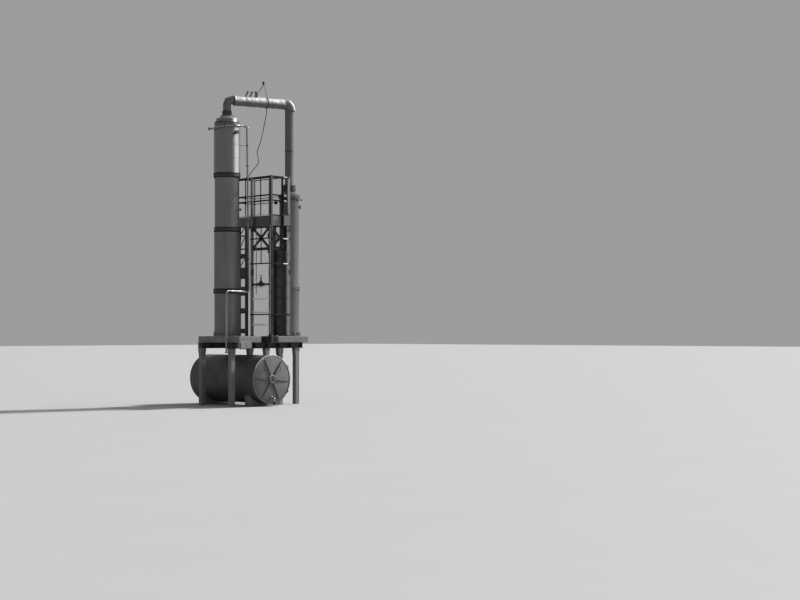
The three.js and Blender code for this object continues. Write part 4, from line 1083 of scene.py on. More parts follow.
def makeSaddles(values):
    x, z, radius = values["x"], values["z"], values["radius"] + values["fit"]
    half, height, count = 0.56, 0.33, 22
    lean = math.asin((z - height) / radius)
    angles = [-lean - (math.pi - 2 * lean) * k / count for k in range(count + 1)]

    def arc(reach, row):
        return [(x + reach * math.cos(angle), row, z + reach * math.sin(angle)) for angle in angles]

    for name, row, node in zip(("frontSaddle", "rearSaddle"), values["saddleRows"],
                               ("drum_saddle_front", "drum_saddle_rear")):
        piece = beginPiece(name, "concrete", "drumPaint", "boltSteel")
        face = row - 0.1
        addPlate([(x - half, face, 0), (x + half, face, 0), (x + half, face, height), *arc(radius + 0.008, face),
                  (x - half, face, height)], (0, 0.2, 0), 0, 0.006)
        # Wear plate between the drum and the saddle
        addPlate(arc(radius, row - 0.094) + arc(radius + 0.0085, row - 0.094)[::-1], (0, 0.188, 0), 1)
        boltsAt([(x + side * 0.5, row + way * 0.055, height) for side in bothWays for way in bothWays], up, 0.012,
                0.034, 2)
        finishPiece(piece, "concrete", node)


def makeDrain(values):
    x, height = values["x"], 0.25
    face = values["front"] - 2 * values["fit"] - values["cover"]
    out = face - 0.11
    piece = beginPiece("drumDrain", "pipeSteel", "boltSteel", "darkSteel")
    addPipe(roundedRoute([(x, face, height), (x, out, height), (x, out, 0.06)], 0.05), 0.026, 24)
    addTurned([(0.024, 0), (0.044, 0), (0.046, 0.002), (0.046, 0.012), (0.04, 0.014), (0.026, 0.022), (0.024, 0)],
              (x, face, height), 24, axis=toFront)
    boltCircle(6, (x, face - 0.012, height), 0.038, toFront, 0.005, 0.01, 0.2)
    addTurned([(0, 0.04), (0.04, 0.04), (0.042, 0.042), (0.042, 0.054), (0.04, 0.056), (0.028, 0.066),
               (0.03, 0.076), (0.044, 0.09), (0.047, 0.1), (0.044, 0.11), (0.03, 0.124), (0.028, 0.13),
               (0, 0.13)], (x, out, 0), 28, 2)
    addTurned([(0.02, 0.02), (0.026, 0.024), (0.026, 0.04), (0.012, 0.056), (0.009, 0.06), (0.009, 0.082),
               (0, 0.082), (0, 0.02), (0.02, 0.02)], (x, out, 0.1), 20, 1, toFront)
    addHandwheel((x, out - 0.0825, 0.1), toFront, 0.036, 0.0055, 4, 2)
    finishPiece(piece, "pipe_steel", "drum_drain", smoothDegrees=45)


makeDrum(drum)
makeSaddles(drum)
makeDrain(drum)


def onSide(index, depth, reach, height):
    # A place given by its depth on one level axis, 0 for x or 1 for y, and its reach on the other
    return (depth, reach, height) if index == 0 else (reach, depth, height)


def addSided(index, depths, reach, rise, edge=0.0, paint=0):
    # A block between two depths, over a reach and a rise
    first, last = sorted(depths)
    addBlock(onSide(index, first, reach[0], rise[0]), onSide(index, last, reach[1], rise[1]), edge, paint)


def addChannel(x, half, row, reach, foot, top):
    # An upright channel about a row, its lips on the side that the sign of its reach tells
    lip, web = 0.007, row - reach + math.copysign(0.008, reach)
    addPlate([(x + across, y, foot) for across, y in (
        (-half, row - reach), (half, row - reach), (half, row + reach), (half - lip, row + reach), (half - lip, web),
        (lip - half, web), (lip - half, row + reach), (-half, row + reach))], (0, 0, top - foot), 0, 0.0015)


tower = {
    "posts": ["tower_post_near", "tower_post_left", "tower_post_right", "tower_post_rear"], "corner": 0.007,
    "splices": [3.92, 5.2], "pipeClamps": (2.45, 3.15, 3.6, 4.45, 5.15), "saddles": (2.6, 3.3, 4.0, 4.75, 5.2),
    "switchBoxes": (4.46, 4.9), "underDeck": 5.26,
}


def makePosts(values):
    piece = beginPiece("towerPosts", "darkSteel", "boltSteel", "postSteel", "gasketAndShade", "conduitPaint", "highlightPaint")
    corner = values["corner"]
    for name in values["posts"]:
        low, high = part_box(name)
        if name == "tower_post_near":
            # Near-black below the deck: painted shade under the platform
            addBlock(low, (high.x, high.y, 5.3), corner, 3)
            addBlock((low.x, low.y, 5.29), high - Vector((0, 0, 0.004)), corner)
        else:
            addBlock(low, high - Vector((0, 0, 0.004)), corner, 2)
        # Foot plate with its bolts, cap, and splice plates on two faces
        middle = (low + high) / 2
        wideX, wideY = (high.x - low.x) / 2, (high.y - low.y) / 2
        sideX = min(wideX + 0.028, 0.049)
        addBlock((middle.x - sideX, middle.y - wideY - 0.028, low.z),
                 (middle.x + sideX, middle.y + wideY + 0.028, low.z + 0.012), 0.002)
        boltsAt([(middle.x + a * (sideX - 0.012), middle.y + b * (wideY + 0.014), low.z + 0.012)
                 for a in bothWays for b in bothWays], up, 0.009, 0.026)
        addBlock((low.x + 0.004, low.y + 0.004, high.z - 0.006), (high.x - 0.004, high.y - 0.004, high.z), 0.002)
        for height in values["splices"]:
            below, above = height - 0.09, height + 0.09
            addBlock((low.x - 0.004, low.y + 0.008, below), (low.x + 0.001, high.y - 0.008, above), 0.0015)
            addBlock((low.x + 0.006, low.y - 0.004, below), (high.x - 0.006, low.y + 0.001, above), 0.0015)
            rows = [height + k * 0.04 for k in (-1.5, -0.5, 0.5, 1.5)]
            boltsAt([(low.x - 0.004, middle.y, z) for z in rows], toLeft, 0.008, 0.014)
            boltsAt([(middle.x, low.y - 0.004, z) for z in rows], toFront, 0.008, 0.014)
    low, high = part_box("tower_post_right")
    deck = values["underDeck"]
    # Pale panels on the right post's shaded -X face, below and above the deck: painted light
    addBlock((low.x - 0.0015, low.y + 0.006, low.z + 0.2), (low.x + 0.002, high.y - 0.006, deck), 0.001, 4)
    addBlock((low.x - 0.0015, low.y + 0.003, 5.62), (low.x + 0.002, high.y - 0.003, 6.69), 0.001, 5)
    # Rain pipe from the deck down beside the right post, with its clamps
    x, y = low.x - 0.04, low.y + 0.036
    addRod((x, y, low.z + 0.06), (x, y, 5.275), 0.03, 20, 0.003, 4)
    addRing(0.028, 0.038, 0, 0.03, (x, y, low.z + 0.03), 20, 4)
    for height in values["pipeClamps"]:
        addRing(0.0295, 0.034, -0.011, 0.011, (x, y, height), 20)
        addBlock((x + 0.031, y - 0.009, height - 0.01), (low.x + 0.001, y + 0.009, height + 0.01), 0.001)
    # Conduit down the near post's corner with its saddles, a near-black strip of painted shade beside the post, and
    # two small switch boxes
    low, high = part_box("tower_post_near")
    x, y = low.x - 0.01, low.y + 0.022
    addRod((x, y, 2.1), (x, y, 5.27), 0.013, 12, 0.002, 4)
    for height in values["saddles"]:
        addBlock((low.x - 0.0245, low.y + 0.004, height - 0.012), (low.x + 0.002, low.y + 0.04, height + 0.012), 0.002)
    # Near-black strip on the post's right side: painted shade
    addBlock((high.x - 0.001, low.y + 0.004, 2.06), (high.x + 0.026, low.y + 0.011, deck), 0.001, 3)
    for foot in values["switchBoxes"]:
        addBlock((low.x - 0.02, high.y - 0.004, foot), (low.x + 0.045, high.y + 0.05, foot + 0.15), 0.006, 3)
        addBlock((low.x - 0.024, high.y + 0.004, foot + 0.012), (low.x - 0.019, high.y + 0.042, foot + 0.138), 0.002)
    finishPiece(piece, "dark_steel", *values["posts"])


lacedColumn = {
    "x": 0.013, "foot": 2.01, "top": 5.28, "chords": [(0.0405, 0.1), (0.3465, 0.06)], "depth": 0.05,
    "plates": [(2.11, 2.25), (2.7, 2.86), (3.23, 3.5), (3.73, 4.07), (4.345, 4.48), (4.6, 4.64),
               (4.99, 5.03)],
    "diagonals": [(4.07, 4.345), (4.64, 4.99), (5.03, 5.26)],
}


def makeLacedColumn(values):
    x, half, foot = values["x"], values["depth"] / 2, values["foot"]
    left = x - half
    (firstRow, firstWide), (lastRow, lastWide) = values["chords"]
    inner, outer = firstRow + firstWide / 2, lastRow - lastWide / 2
    piece = beginPiece("lacedColumn", "darkSteel", "boltSteel")
    addChannel(x, half, firstRow, -firstWide / 2, foot, values["top"])
    addChannel(x, half, lastRow, lastWide / 2, foot, values["top"])
    for low, high in values["plates"]:
        addBlock((left - 0.001, inner - 0.038, low), (left + 0.007, outer + 0.03, high), 0.002)
        count = max(1, round((high - low - 0.03) / 0.055))
        heights = [low + 0.02 + (high - low - 0.04) * k / count for k in range(count + 1)]
        if high - low < 0.06:
            heights = [(low + high) / 2]
        for row in (inner - 0.022, outer + 0.016):
            boltsAt([(left - 0.001, row, height) for height in heights], toLeft, 0.0075, 0.011)
    for low, high in values["diagonals"]:
        addBar((left + 0.002, outer + 0.012, low), (left + 0.002, inner - 0.012, high), 0.034, 0.007, toRight, 0.0015)
        boltsAt([(left - 0.0015, outer + 0.01, low + 0.004), (left - 0.0015, inner - 0.01, high - 0.004)], toLeft,
                0.008, 0.011)
    addBlock((x - 0.049, firstRow - 0.075, foot), (x + 0.049, lastRow + 0.055, foot + 0.012), 0.002)
    boltsAt([(x + a * 0.038, row, foot + 0.012) for a in bothWays for row in (firstRow - 0.062, lastRow + 0.042)], up,
            0.009, 0.026)
    finishPiece(piece, "dark_steel", "laced_column")


platform = {
    "skin": 0.007, "lip": 0.036, "stiffenerPitch": 0.33, "cornerEdge": 0.49, "joists": 4, "barPitch": 0.034,
    "barThick": 0.004, "crossPitch": 0.1,
}


def makePlatform(values):
    low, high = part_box("platform_fascia")
    piece = beginPiece("platformFascia", "fasciaPaint", "boltSteel", "highlightPaint", "gasketAndShade", "lipPaint")
    skin, lip = values["skin"], values["lip"]
    # Four side plates, each a channel with a lip at its top and foot
    for index, side in ((0, -1), (0, 1), (1, -1), (1, 1)):
        face = low[index] if side < 0 else high[index]
        inward, outer = face - side * skin, face + side * 0.004
        start, end = low[1 - index], high[1 - index]
        addSided(index, (face, inward), (start, end), (low.z, high.z), 0.0015)
        for base in (low.z, high.z - 0.008):
            addSided(index, (inward + side * 0.001, face - side * lip), (start + skin, end - skin),
                     (base, base + 0.008))
        # Edge angles outside, along the top and the foot, and upright stiffeners between them
        proud = (outer, face - side * 0.001)
        # The top angle is pale on the left and right plates (painted highlight) and near-black on the front and rear
        # plates (painted shade)
        for base, paint in ((low.z, 0), (high.z - 0.03, 2 + index)):
            addSided(index, proud, (start, end), (base, base + 0.03), 0.001, paint)
        count = max(2, round((end - start) / values["stiffenerPitch"]))
        for k in range(1, count):
            middle = start + (end - start) * k / count
            addSided(index, proud, (middle - 0.02, middle + 0.02), (low.z + 0.028, high.z - 0.028), 0.001)
            boltsAt([onSide(index, outer, middle, height)
                     for height in (low.z + 0.05, low.z + 0.12, high.z - 0.12, high.z - 0.05)],
                    onSide(index, side, 0, 0), 0.007, 0.009)
    # Drip lip along the front and right plates
    addBlock((low.x - 0.002, low.y - 0.014, low.z + 0.15), (high.x + 0.002, low.y + 0.002, low.z + 0.158), 0.001, 4)
    addBlock((high.x - 0.002, low.y - 0.002, low.z + 0.15), (high.x + 0.014, high.y, low.z + 0.158), 0.001, 4)
    # Corner plate from the front plate out to the right post's face
    edge, front = values["cornerEdge"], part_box("tower_post_right")[0].y
    foot, top = low.z + 0.012, high.z - 0.01
    addBlock((edge, front - 0.003, foot), (high.x + 0.026, front + 0.003, top), 0.0015)
    addBlock((edge, front + 0.002, foot), (edge + 0.005, low.y + 0.001, top), 0.001)
    boltsAt([(high.x + 0.002, front - 0.003, low.z + k * 0.08) for k in (0.6, 1.6, 2.6, 3.5)], toFront, 0.007, 0.009)
    left, right = low.x + skin, high.x - skin
    for k in range(1, values["joists"] + 1):
        row = low.y + (high.y - low.y) * k / (values["joists"] + 1)
        addBlock((left, row - 0.004, high.z - 0.13), (right, row + 0.004, high.z - 0.032))
        addBlock((left, row - 0.025, high.z - 0.036), (right, row + 0.025, high.z - 0.028), 0.001)
    finishPiece(piece, "dark_steel", "platform_fascia")

    low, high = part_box("platform_deck")
    deck = beginPiece("platformDeck", "gratingSteel", "boltSteel")
    top, bottom = high.z - 0.0005, high.z - 0.03
    pitch, crossPitch = values["barPitch"], values["crossPitch"]
    with onItsOwn():
        addBlock((low.x + 0.01, low.y + 0.02, bottom), (high.x - 0.01, low.y + 0.02 + values["barThick"], top))
        copiesBy([(0, pitch, 0)] * int((high.y - low.y - 0.04) / pitch))
    with onItsOwn():
        addRod((low.x + 0.035, low.y + 0.01, top - 0.003), (low.x + 0.035, high.y - 0.01, top - 0.003), 0.003, 6)
        copiesBy([(crossPitch, 0, 0)] * int((high.x - low.x - 0.05) / crossPitch))
    # Frame round the grating and between its panels
    for y in (low.y + 0.003, (low.y * 2 + high.y) / 3, (low.y + high.y * 2) / 3, high.y - 0.003):
        addBlock((low.x, y - 0.003, bottom), (high.x, y + 0.003, high.z), 0.001)
    for x in (low.x + 0.003, high.x - 0.003):
        addBlock((x - 0.003, low.y, bottom), (x + 0.003, high.y, high.z), 0.001)
    finishPiece(deck, "dark_steel", "platform_deck")


guardRail = {
    "radius": 0.016, "railRadius": {"left": 0.023, "front": 0.023, "right": 0.011, "rear": 0.011},
    "foot": 5.608, "topRail": 6.742, "topDepth": {"left": 0.07, "front": 0.07, "right": 0.024, "rear": 0.024},
    "heights": [6.18, 6.02], "cornerBend": 0.055, "left": 0.0665, "front": -1.009, "right": 0.697, "rear": 0.5265,
    "stanchions": {"left": [(0.0665, -0.5395), (0.0665, 0.5265)], "front": [(0.514, -1.009), (0.697, -1.009)],
                   "right": [(0.697, -0.7625), (0.697, 0.4675)], "rear": [(0.383, 0.5265)]},
}


def makeGuardRails(values):
    radius, heights, foot, top = values["radius"], values["heights"], values["foot"], values["topRail"]
    left, front, right, rear = values["left"], values["front"], values["right"], values["rear"]
    turn = 0.09
    runs = {
        "left": ("guardRailLeft", 0, -1, [(left, front - 0.03), (left, rear), (left + turn, rear)]),
        "front": ("guardRailFront", 1, -1, [(left + 0.016, front), (right, front), (right, front + turn)]),
        "right": ("guardRailRight", 0, 1, [(right, front + turn), (right, rear), (right - turn, rear)]),
        "rear": ("guardRailRear", 1, 1, [(left + turn, rear), (right - turn, rear)]),
    }
    for side, (name, index, way, plan) in runs.items():
        piece = beginPiece(name, "railSteel", "boltSteel", "highlightPaint")
        thick, deep = values["railRadius"][side], values["topDepth"][side]
        for height in heights:
            corners = [(x, y, height) for x, y in plan]
            addPipe(roundedRoute(corners, values["cornerBend"]), thick, 16)
        # Top rail: an upright flat with rounded edges, lapped at the corners
        depth, start, end = plan[0][index], plan[0][1 - index], plan[1][1 - index]
        addSided(index, (depth - radius, depth + radius), (start, end), (top - deep, top), 0.005)
        middle = (start + end) / 2
        boltsAt([onSide(index, depth + way * radius, middle + shift, top - deep / 2) for shift in (-0.06, 0.06)],
                onSide(index, way, 0, 0), 0.007, 0.01)
        for x, y in values["stanchions"][side]:
            addRod((x, y, foot), (x, y, top - 0.01), radius * 0.97)
            addBlock((x - 0.022, y - 0.03, foot), (x + 0.022, y + 0.03, foot + 0.008), 0.0015)
            boltsAt([(x, y - 0.024, foot + 0.008), (x, y + 0.024, foot + 0.008)], up, 0.0055, 0.012)
            for height in heights:
                addRod((x, y, height - 0.026), (x, y, height + 0.026), radius * 1.5, 16, 0.002)
        if side == "front":
            # Pale joint sleeves by the right post and a pale plate over the top rail's end there, both painted
            # highlights; a strap down over the fascia and a small horn under the rail
            y, face = front, front - radius
            for height in heights:
                addRod((0.555, y, height), (0.665, y, height), thick + 0.003, 16, 0.003, 2)
            addBlock((0.555, face - 0.003, top - 0.034), (0.68, y + radius + 0.003, top - 0.004), 0.003, 2)
            addBlock((0.43, face - 0.03, 4.92), (0.487, face - 0.0165, 5.64), 0.003)
            boltsAt([(0.4585, face - 0.03, height) for height in (4.97, 5.31, 5.56)], toFront, 0.009, 0.012)
            addRod((0.25, y, 5.985), (0.25, y, 6.035), 0.03, 16, 0.003)
            addTurned([(0, 0), (0.052, 0), (0.052, 0.055), (0.034, 0.082), (0.018, 0.095), (0, 0.095)],
                      (0.25, y, 5.905), 20)
        if side == "left":
            # The middle upright runs on under the deck, behind the braces, to the lower tie
            x, y = values["stanchions"]["left"][0]
            addRod((x + 0.016, y, 4.16), (x + 0.016, y, 5.3), radius * 0.9, 14)
        finishPiece(piece, "dark_steel", f"guard_rail_{side}", smoothDegrees=40)


braces = {
    "width": 0.086, "thick": 0.01, "low": 4.6, "high": 5.24, "centre": 0.085,
    "sideX": 0.0555, "sideRows": (-0.965, -0.1935), "frontY": -1.02, "frontRows": (0.063, 0.697),
}


def addBraceCross(values, index, depth, ends, rails, corners, plateHalf, gussets):
    # Two crossed bars, rails under them, a middle disc, corner plates and gussets behind, on one side of the tower
    width, thick, low, high = values["width"], values["thick"], values["low"], values["high"]
    near, far = ends
    across, out = onSide(index, 1, 0, 0), onSide(index, -1, 0, 0)
    addBar(onSide(index, depth, near, low), onSide(index, depth, far, high), width, thick, across, 0.002)
    addBar(onSide(index, depth - 0.0085, near, high), onSide(index, depth - 0.0085, far, low), width, thick * 0.7,
           across, 0.002)
    for reach, rise in rails:
        addSided(index, (depth - 0.005, depth + 0.005), reach, rise, 0.002)
    middle, level = (near + far) / 2, (low + high) / 2
    addDisc(values["centre"], 0.005, onSide(index, depth - 0.012, middle, level), axis=out)
    boltCircle(6, onSide(index, depth - 0.017, middle, level), 0.045, out, 0.008, 0.012, 0.2)
    for row, height in corners:
        addSided(index, (depth - 0.016, depth - 0.01), (row - plateHalf, row + plateHalf),
                 (height - 0.055, height + 0.055), 0.0015)
        boltsAt([onSide(index, depth - 0.016, row + a * 0.032, height + b * 0.032)
                 for a, b in ((-1, -1), (-1, 1), (1, 1), (1, -1))], out, 0.0075, 0.012)
    for outline in gussets:
        addPlate([onSide(index, depth, row, height) for row, height in outline], onSide(index, 0.006, 0, 0), 0, 0.001)


def makeBraces(values):
    low, high, half = values["low"], values["high"], values["width"] / 2
    top = high + 0.02
    near, far = values["sideRows"]
    side = beginPiece("sideBraces", "darkSteel", "boltSteel")
    addBraceCross(
        values, 0, values["sideX"], (near, far),
        [((-1.0147, -0.1835), (low - half, low + half)), ((-1.0147, -0.925), (low - 0.25, low))],
        ((near + 0.02, low), (near + 0.02, high - 0.02), (far - 0.02, high - 0.02), (far - 0.02, low)), 0.055,
        [[(far + 0.01, top), (far - 0.2, top), (far + 0.01, high - 0.16)],
         [(near, top), (near + 0.24, top), (near, high - 0.19)]])
    finishPiece(side, "dark_steel", "brace_side")

    start, end = values["frontRows"]
    front = beginPiece("frontBraces", "railSteel", "boltSteel")
    addBraceCross(
        values, 1, values["frontY"], (start, end), [((-0.007, 0.727), (low - half, low + half))],
        ((start + 0.03, low), (start + 0.03, high - 0.02), (end - 0.02, high - 0.02), (end - 0.02, low)), 0.05,
        [[(start - 0.03, top), (start + 0.2, top), (start + 0.14, low + 0.2), (start - 0.03, low + 0.1)],
         [(end + 0.01, top), (end - 0.2, top), (end - 0.15, low + 0.24), (end + 0.01, low + 0.12)]])
    finishPiece(front, "dark_steel", "brace_front")


ties = {"nodes": ["tower_tie_upper", "tower_tie_lower", "tower_tie_foot"], "thick": 0.012}


def makeTies(values):
    thick = values["thick"]
    for node in values["nodes"]:
        low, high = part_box(node)
        piece = beginPiece(node.replace("tower_tie_", "tie_"), "railSteel", "boltSteel", "highlightPaint")
        addPlate([(low.x, low.y, low.z), (high.x, low.y, low.z), (high.x, low.y + thick, low.z),
                  (low.x + thick, low.y + thick, low.z), (low.x + thick, high.y, low.z), (low.x, high.y, low.z)],
                 (0, 0, high.z - low.z), 0, 0.002)
        # A pale plate near the right end of the upper and lower ties: a painted highlight
        if node != "tower_tie_foot":
            addBlock((0.455, low.y - 0.0005, low.z + 0.002), (0.655, low.y + 0.02, high.z - 0.002), 0.002, 2)
        middle = (low.z + high.z) / 2
        boltsAt([(x, low.y, middle) for x in (0.013, 0.37, 0.717)], toFront, 0.0095, 0.016)
        boltsAt([(low.x, y, middle) for y in (-1.0625, -0.63, -0.2135)], toLeft, 0.0095, 0.016)
        finishPiece(piece, "pipe_steel", node)


crossBars = {
    "front": -1.025, "rear": -0.251, "x": 0.013,
    "bars": {"low": (2.365, 0.019, 0.0), "middle": (2.735, 0.019, 0.0), "high": (3.125, 0.019, 0.0),
             "top": (3.474, 0.012, 0.024)},
}


def makeCrossBars(values):
    front, rear = values["front"], values["rear"]
    length = rear - front
    for name, (height, radius, offset) in values["bars"].items():
        x, bore = values["x"] + offset, radius - 0.002
        piece = beginPiece("crossBar_" + name, "palePaint", "boltSteel")
        addDisc(radius, length, (x, front, height), axis=toBack)
        for y, way in ((front, toBack), (rear, toFront)):
            addTurned([(bore, 0), (radius * 1.7, 0), (radius * 1.7, 0.008), (radius * 1.2, 0.014), (bore, 0.03),
                       (bore, 0)], (x, y, height), 24, axis=way)
        addTurned([(bore, -0.016), (radius + 0.004, -0.012), (radius + 0.004, 0.012), (bore, 0.016), (bore, -0.016)],
                  (x, front + length * 0.55, height), 24, axis=toBack)
        finishPiece(piece, "pipe_steel", f"cross_bar_{name}", smoothDegrees=40)


bypass = {
    "x": 0.013, "front": -1.025, "rear": -0.251, "height": 3.552, "radius": 0.03, "valve": -0.6125,
    "branch": (-0.4035, 0.011, 3.27, 5.24),
}


def makeBypass(values):
    x, height, radius, row = values["x"], values["height"], values["radius"], values["valve"]
    front, rear = values["front"], values["rear"]
    middle, bore = (x, row, height), radius - 0.002
    piece = beginPiece("bypassLine", "darkSteel", "boltSteel", "pipeSteel")
    addDisc(radius, rear - front, (x, front, height), axis=toBack)
    for y, way in ((front, toBack), (rear, toFront)):
        addTurned([(bore, 0), (0.046, 0), (0.046, 0.01), (0.036, 0.016), (bore, 0.034), (bore, 0)], (x, y, height),
                  24, axis=way)
    # Gate body between two flange pairs
    body = [(0.0, -0.145), (0.044, -0.145), (0.046, -0.143), (0.046, -0.134), (0.043, -0.133), (0.043, -0.131),
            (0.046, -0.13), (0.046, -0.122), (0.044, -0.12), (0.034, -0.112), (0.034, -0.096), (0.05, -0.06),
            (0.06, -0.034), (0.062, 0.0)]
    addTurned([*body, *[(reach, -depth) for reach, depth in body[-2::-1]]], middle, 28, axis=toBack)
    for side in bothWays:
        boltCircle(6, (x, row + side * 0.145, height), 0.038, (0, side, 0), 0.0055, 0.01, 0.2)
        boltCircle(6, (x, row + side * 0.1215, height), 0.0395, (0, -side, 0), 0.0055, 0.01, 0.2)
    # Bonnet, yoke, stem and wheel
    addTurned([(0, 0.03), (0.052, 0.03), (0.052, 0.05), (0.06, 0.052), (0.062, 0.055), (0.062, 0.062),
               (0.06, 0.064), (0.06, 0.066), (0.062, 0.068), (0.062, 0.074), (0.058, 0.077), (0.04, 0.082),
               (0.026, 0.104), (0.024, 0.122), (0.016, 0.13), (0.016, 0.15), (0, 0.15)], middle, 28)
    boltCircle(8, (x, row, height + 0.076), 0.053, up, 0.006, 0.014, 0.2)
    for side in bothWays:
        addBar((x, row + side * 0.022, height + 0.118), (x, row + side * 0.026, height + 0.215), 0.012, 0.008,
               toRight, 0.001)
    addBlock((x - 0.009, row - 0.031, height + 0.21), (x + 0.009, row + 0.031, height + 0.224), 0.002)
    addTurned([(0, 0.14), (0.0075, 0.14), (0.0075, 0.276), (0.0055, 0.28), (0, 0.28)], middle, 14, 1)
    addHandwheel((x, row, height + 0.262), up, 0.0425, 0.0055, 5, 0)
    branchRow, thin, low, high = values["branch"]
    addRod((x, branchRow, low), (x, branchRow, high), thin, 14, 0, 2)
    for z in (low + 0.01, high - 0.01, height + 0.045, height - 0.045, 4.4):
        addTurned([(thin - 0.001, -0.012), (thin + 0.006, -0.01), (thin + 0.006, 0.01), (thin - 0.001, 0.012),
                   (thin - 0.001, -0.012)], (x, branchRow, z), 14, 2)
    finishPiece(piece, "dark_steel", "bypass_line", smoothDegrees=40)


ladder = {
    "x": 0.653, "rows": (-0.8575, -0.4975), "foot": 2.03, "top": 5.6, "depth": 0.08, "width": 0.035,
    "firstRung": 2.28, "pitch": 0.3, "rung": 0.012, "sheetTop": 4.7, "stays": (2.9, 4.15, 5.35),
}


def makeLadder(values):
    x, half, foot, z = values["x"], values["depth"] / 2, values["foot"], values["firstRung"]
    first, last = values["rows"]
    back = x + half
    piece = beginPiece("accessLadder", "darkSteel", "boltSteel", "fasciaPaint")
    for row, way in ((first, -1), (last, 1)):
        addChannel(x, half, row, way * values["width"] / 2, foot, values["top"])
        addBlock((x - half, row - 0.03, foot), (x + half, row + 0.03, foot + 0.01), 0.0015)
        boltsAt([(x + side * 0.026, row + way * 0.022, foot + 0.01) for side in (-1, 1)], up, 0.008, 0.02)
    # Dark sheet behind the rungs, riveted to both stiles: a sheet of painted shade behind the ladder
    addBlock((back - 0.01, first, foot + 0.02), (back - 0.006, last, values["sheetTop"]), 0.001, 2)
    for row in (first + 0.03, last - 0.03):
        boltsAt([(back - 0.01, row, 2.2 + 0.25 * k) for k in range(10)], toLeft, 0.005, 0.004)
    with onItsOwn():
        addRod((x, first - 0.004, z), (x, last + 0.004, z), values["rung"], 14)
        for row, way in ((first - 0.0095, toBack), (last + 0.0095, toFront)):
            addTurned([(0, -0.001), (0.018, -0.001), (0.018, 0.005), (0.012, 0.01), (0, 0.01)], (x, row, z), 12, 1,
                      way)
        copiesBy([(0, 0, values["pitch"])] * int((values["top"] - 0.15 - z) / values["pitch"]))
    for z in values["stays"]:
        for start, end in ((first - 0.03, first + 0.02), (last - 0.02, last + 0.03)):
            addBlock((back - 0.002, start, z - 0.025), (back + 0.006, end, z + 0.025), 0.001)
    finishPiece(piece, "dark_steel", "access_ladder", smoothDegrees=40)


makePosts(tower)
makeLacedColumn(lacedColumn)
makePlatform(platform)
makeGuardRails(guardRail)
makeBraces(braces)
makeTies(ties)
makeCrossBars(crossBars)
makeBypass(bypass)
makeLadder(ladder)

table = {
    "legs": ["front_left", "front_middle", "front_right", "rear_left", "rear_middle", "rear_right"],
    "legHalf": 0.075, "flareHalf": 0.1, "chipDepth": 0.01, "chipSize": 0.11, "edge": 0.01, "cell": 0.028,
    "sections": [("frontBeam", "beam_front", 0, 0.46), ("rearBeam", "beam_rear", 0, 0.46),
                 ("towerSill", "tower_sill", 1, 0.36)],
}


def sliceUp(cell):
    # Cuts what is shown by evenly spaced level and upright planes, so that its faces can be worn unevenly
    shown = [v.co for v in editMesh().verts if not v.hide]
    for k in range(3):
        low, high = min(c[k] for c in shown), max(c[k] for c in shown)
        count = max(1, round((high - low) / cell))
        for i in range(1, count):
            selectShown()
            place, normal = [0, 0, 0], [0, 0, 0]
            place[k], normal[k] = low + (high - low) * i / count, 1
            bpy.ops.mesh.bisect(plane_co=place, plane_no=normal)
    selectShown()


def finishCast(piece, node, name, values, share=1.0):
    # Uneven cast faces and chipped corners: only inward moves, so the cast keeps its size
    finishPiece(piece, "concrete", node, smoothDegrees=30)
    pressBy(piece, name, values["chipSize"], 4, values["chipDepth"] * share, 0.92)


def makeTable(values):
    for node, name in (("slab_main", "mainSlab"), ("slab_second", "secondSlab")):
        low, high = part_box(node)
        piece = beginPiece(name, "concrete")
        addBlock(low, high, values["edge"])
        softenEdges(0.004, 30)
        sliceUp(values["cell"])
        finishCast(piece, node, name + "Wear", values)
    half, flare = values["legHalf"], values["flareHalf"]
    for label in values["legs"]:
        low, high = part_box("leg_" + label)
        x, top = (low.x + high.x) / 2, high.z
        piece = beginPiece(label + "_leg", "concrete")
        right = [(half, 0), (half, top - 0.2), (flare, top - 0.05), (flare, top)]
        addPlate([(x - half, low.y, 0), *((x + reach, low.y, z) for reach, z in right),
                  *((x - reach, low.y, z) for reach, z in right[:0:-1])], (0, high.y - low.y, 0), 0, 0.008)
        sliceUp(values["cell"] * 1.4)
        finishCast(piece, "leg_" + label, "legWear_" + label, values, 0.7)
    for section in values["sections"]:
        makeSection(*section)


def makeSection(name, node, index, pitch):
    # A rolled section with its fillets, web stiffeners and bolts
    low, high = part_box(node)
    piece = beginPiece(name, "darkSteel", "boltSteel")
    middle, half = (low[1 - index] + high[1 - index]) / 2, (high[1 - index] - low[1 - index]) / 2
    web, lip, start, length = 0.006, 0.014, low[index], high[index] - low[index]
    quarter = [(half, 0), (half, lip), (web + 0.008, lip + 0.002), (web, lip + 0.01)]
    right = [(reach, low.z + rise) for reach, rise in quarter]
    right += [(reach, high.z - rise) for reach, rise in quarter[::-1]]
    outline = [(-half, low.z), *right, *((-reach, z) for reach, z in right[:0:-1])]
    addPlate([onSide(index, start, middle + reach, z) for reach, z in outline], onSide(index, length, 0, 0), 0, 0.0015)
    count = max(2, round(length / pitch))
    with onItsOwn():
        addSided(index, (start + 0.012, start + 0.02), (middle - half + 0.01, middle + half - 0.01),
                 (low.z + lip - 0.001, high.z - lip + 0.001), 0.001)
        copiesBy([onSide(index, (length - 0.032) / count, 0, 0)] * count)
    boltsAt([onSide(index, start + length * (k + 0.5) / (count * 2), middle - half + 0.024, low.z + lip)
             for k in range(count * 2)], up, 0.008, 0.016)
    finishPiece(piece, "dark_steel", node)


makeTable(table)

boxOnSlab = {"node": "junction_box", "glandRadius": 0.014, "glands": 4, "arch": 0.045}


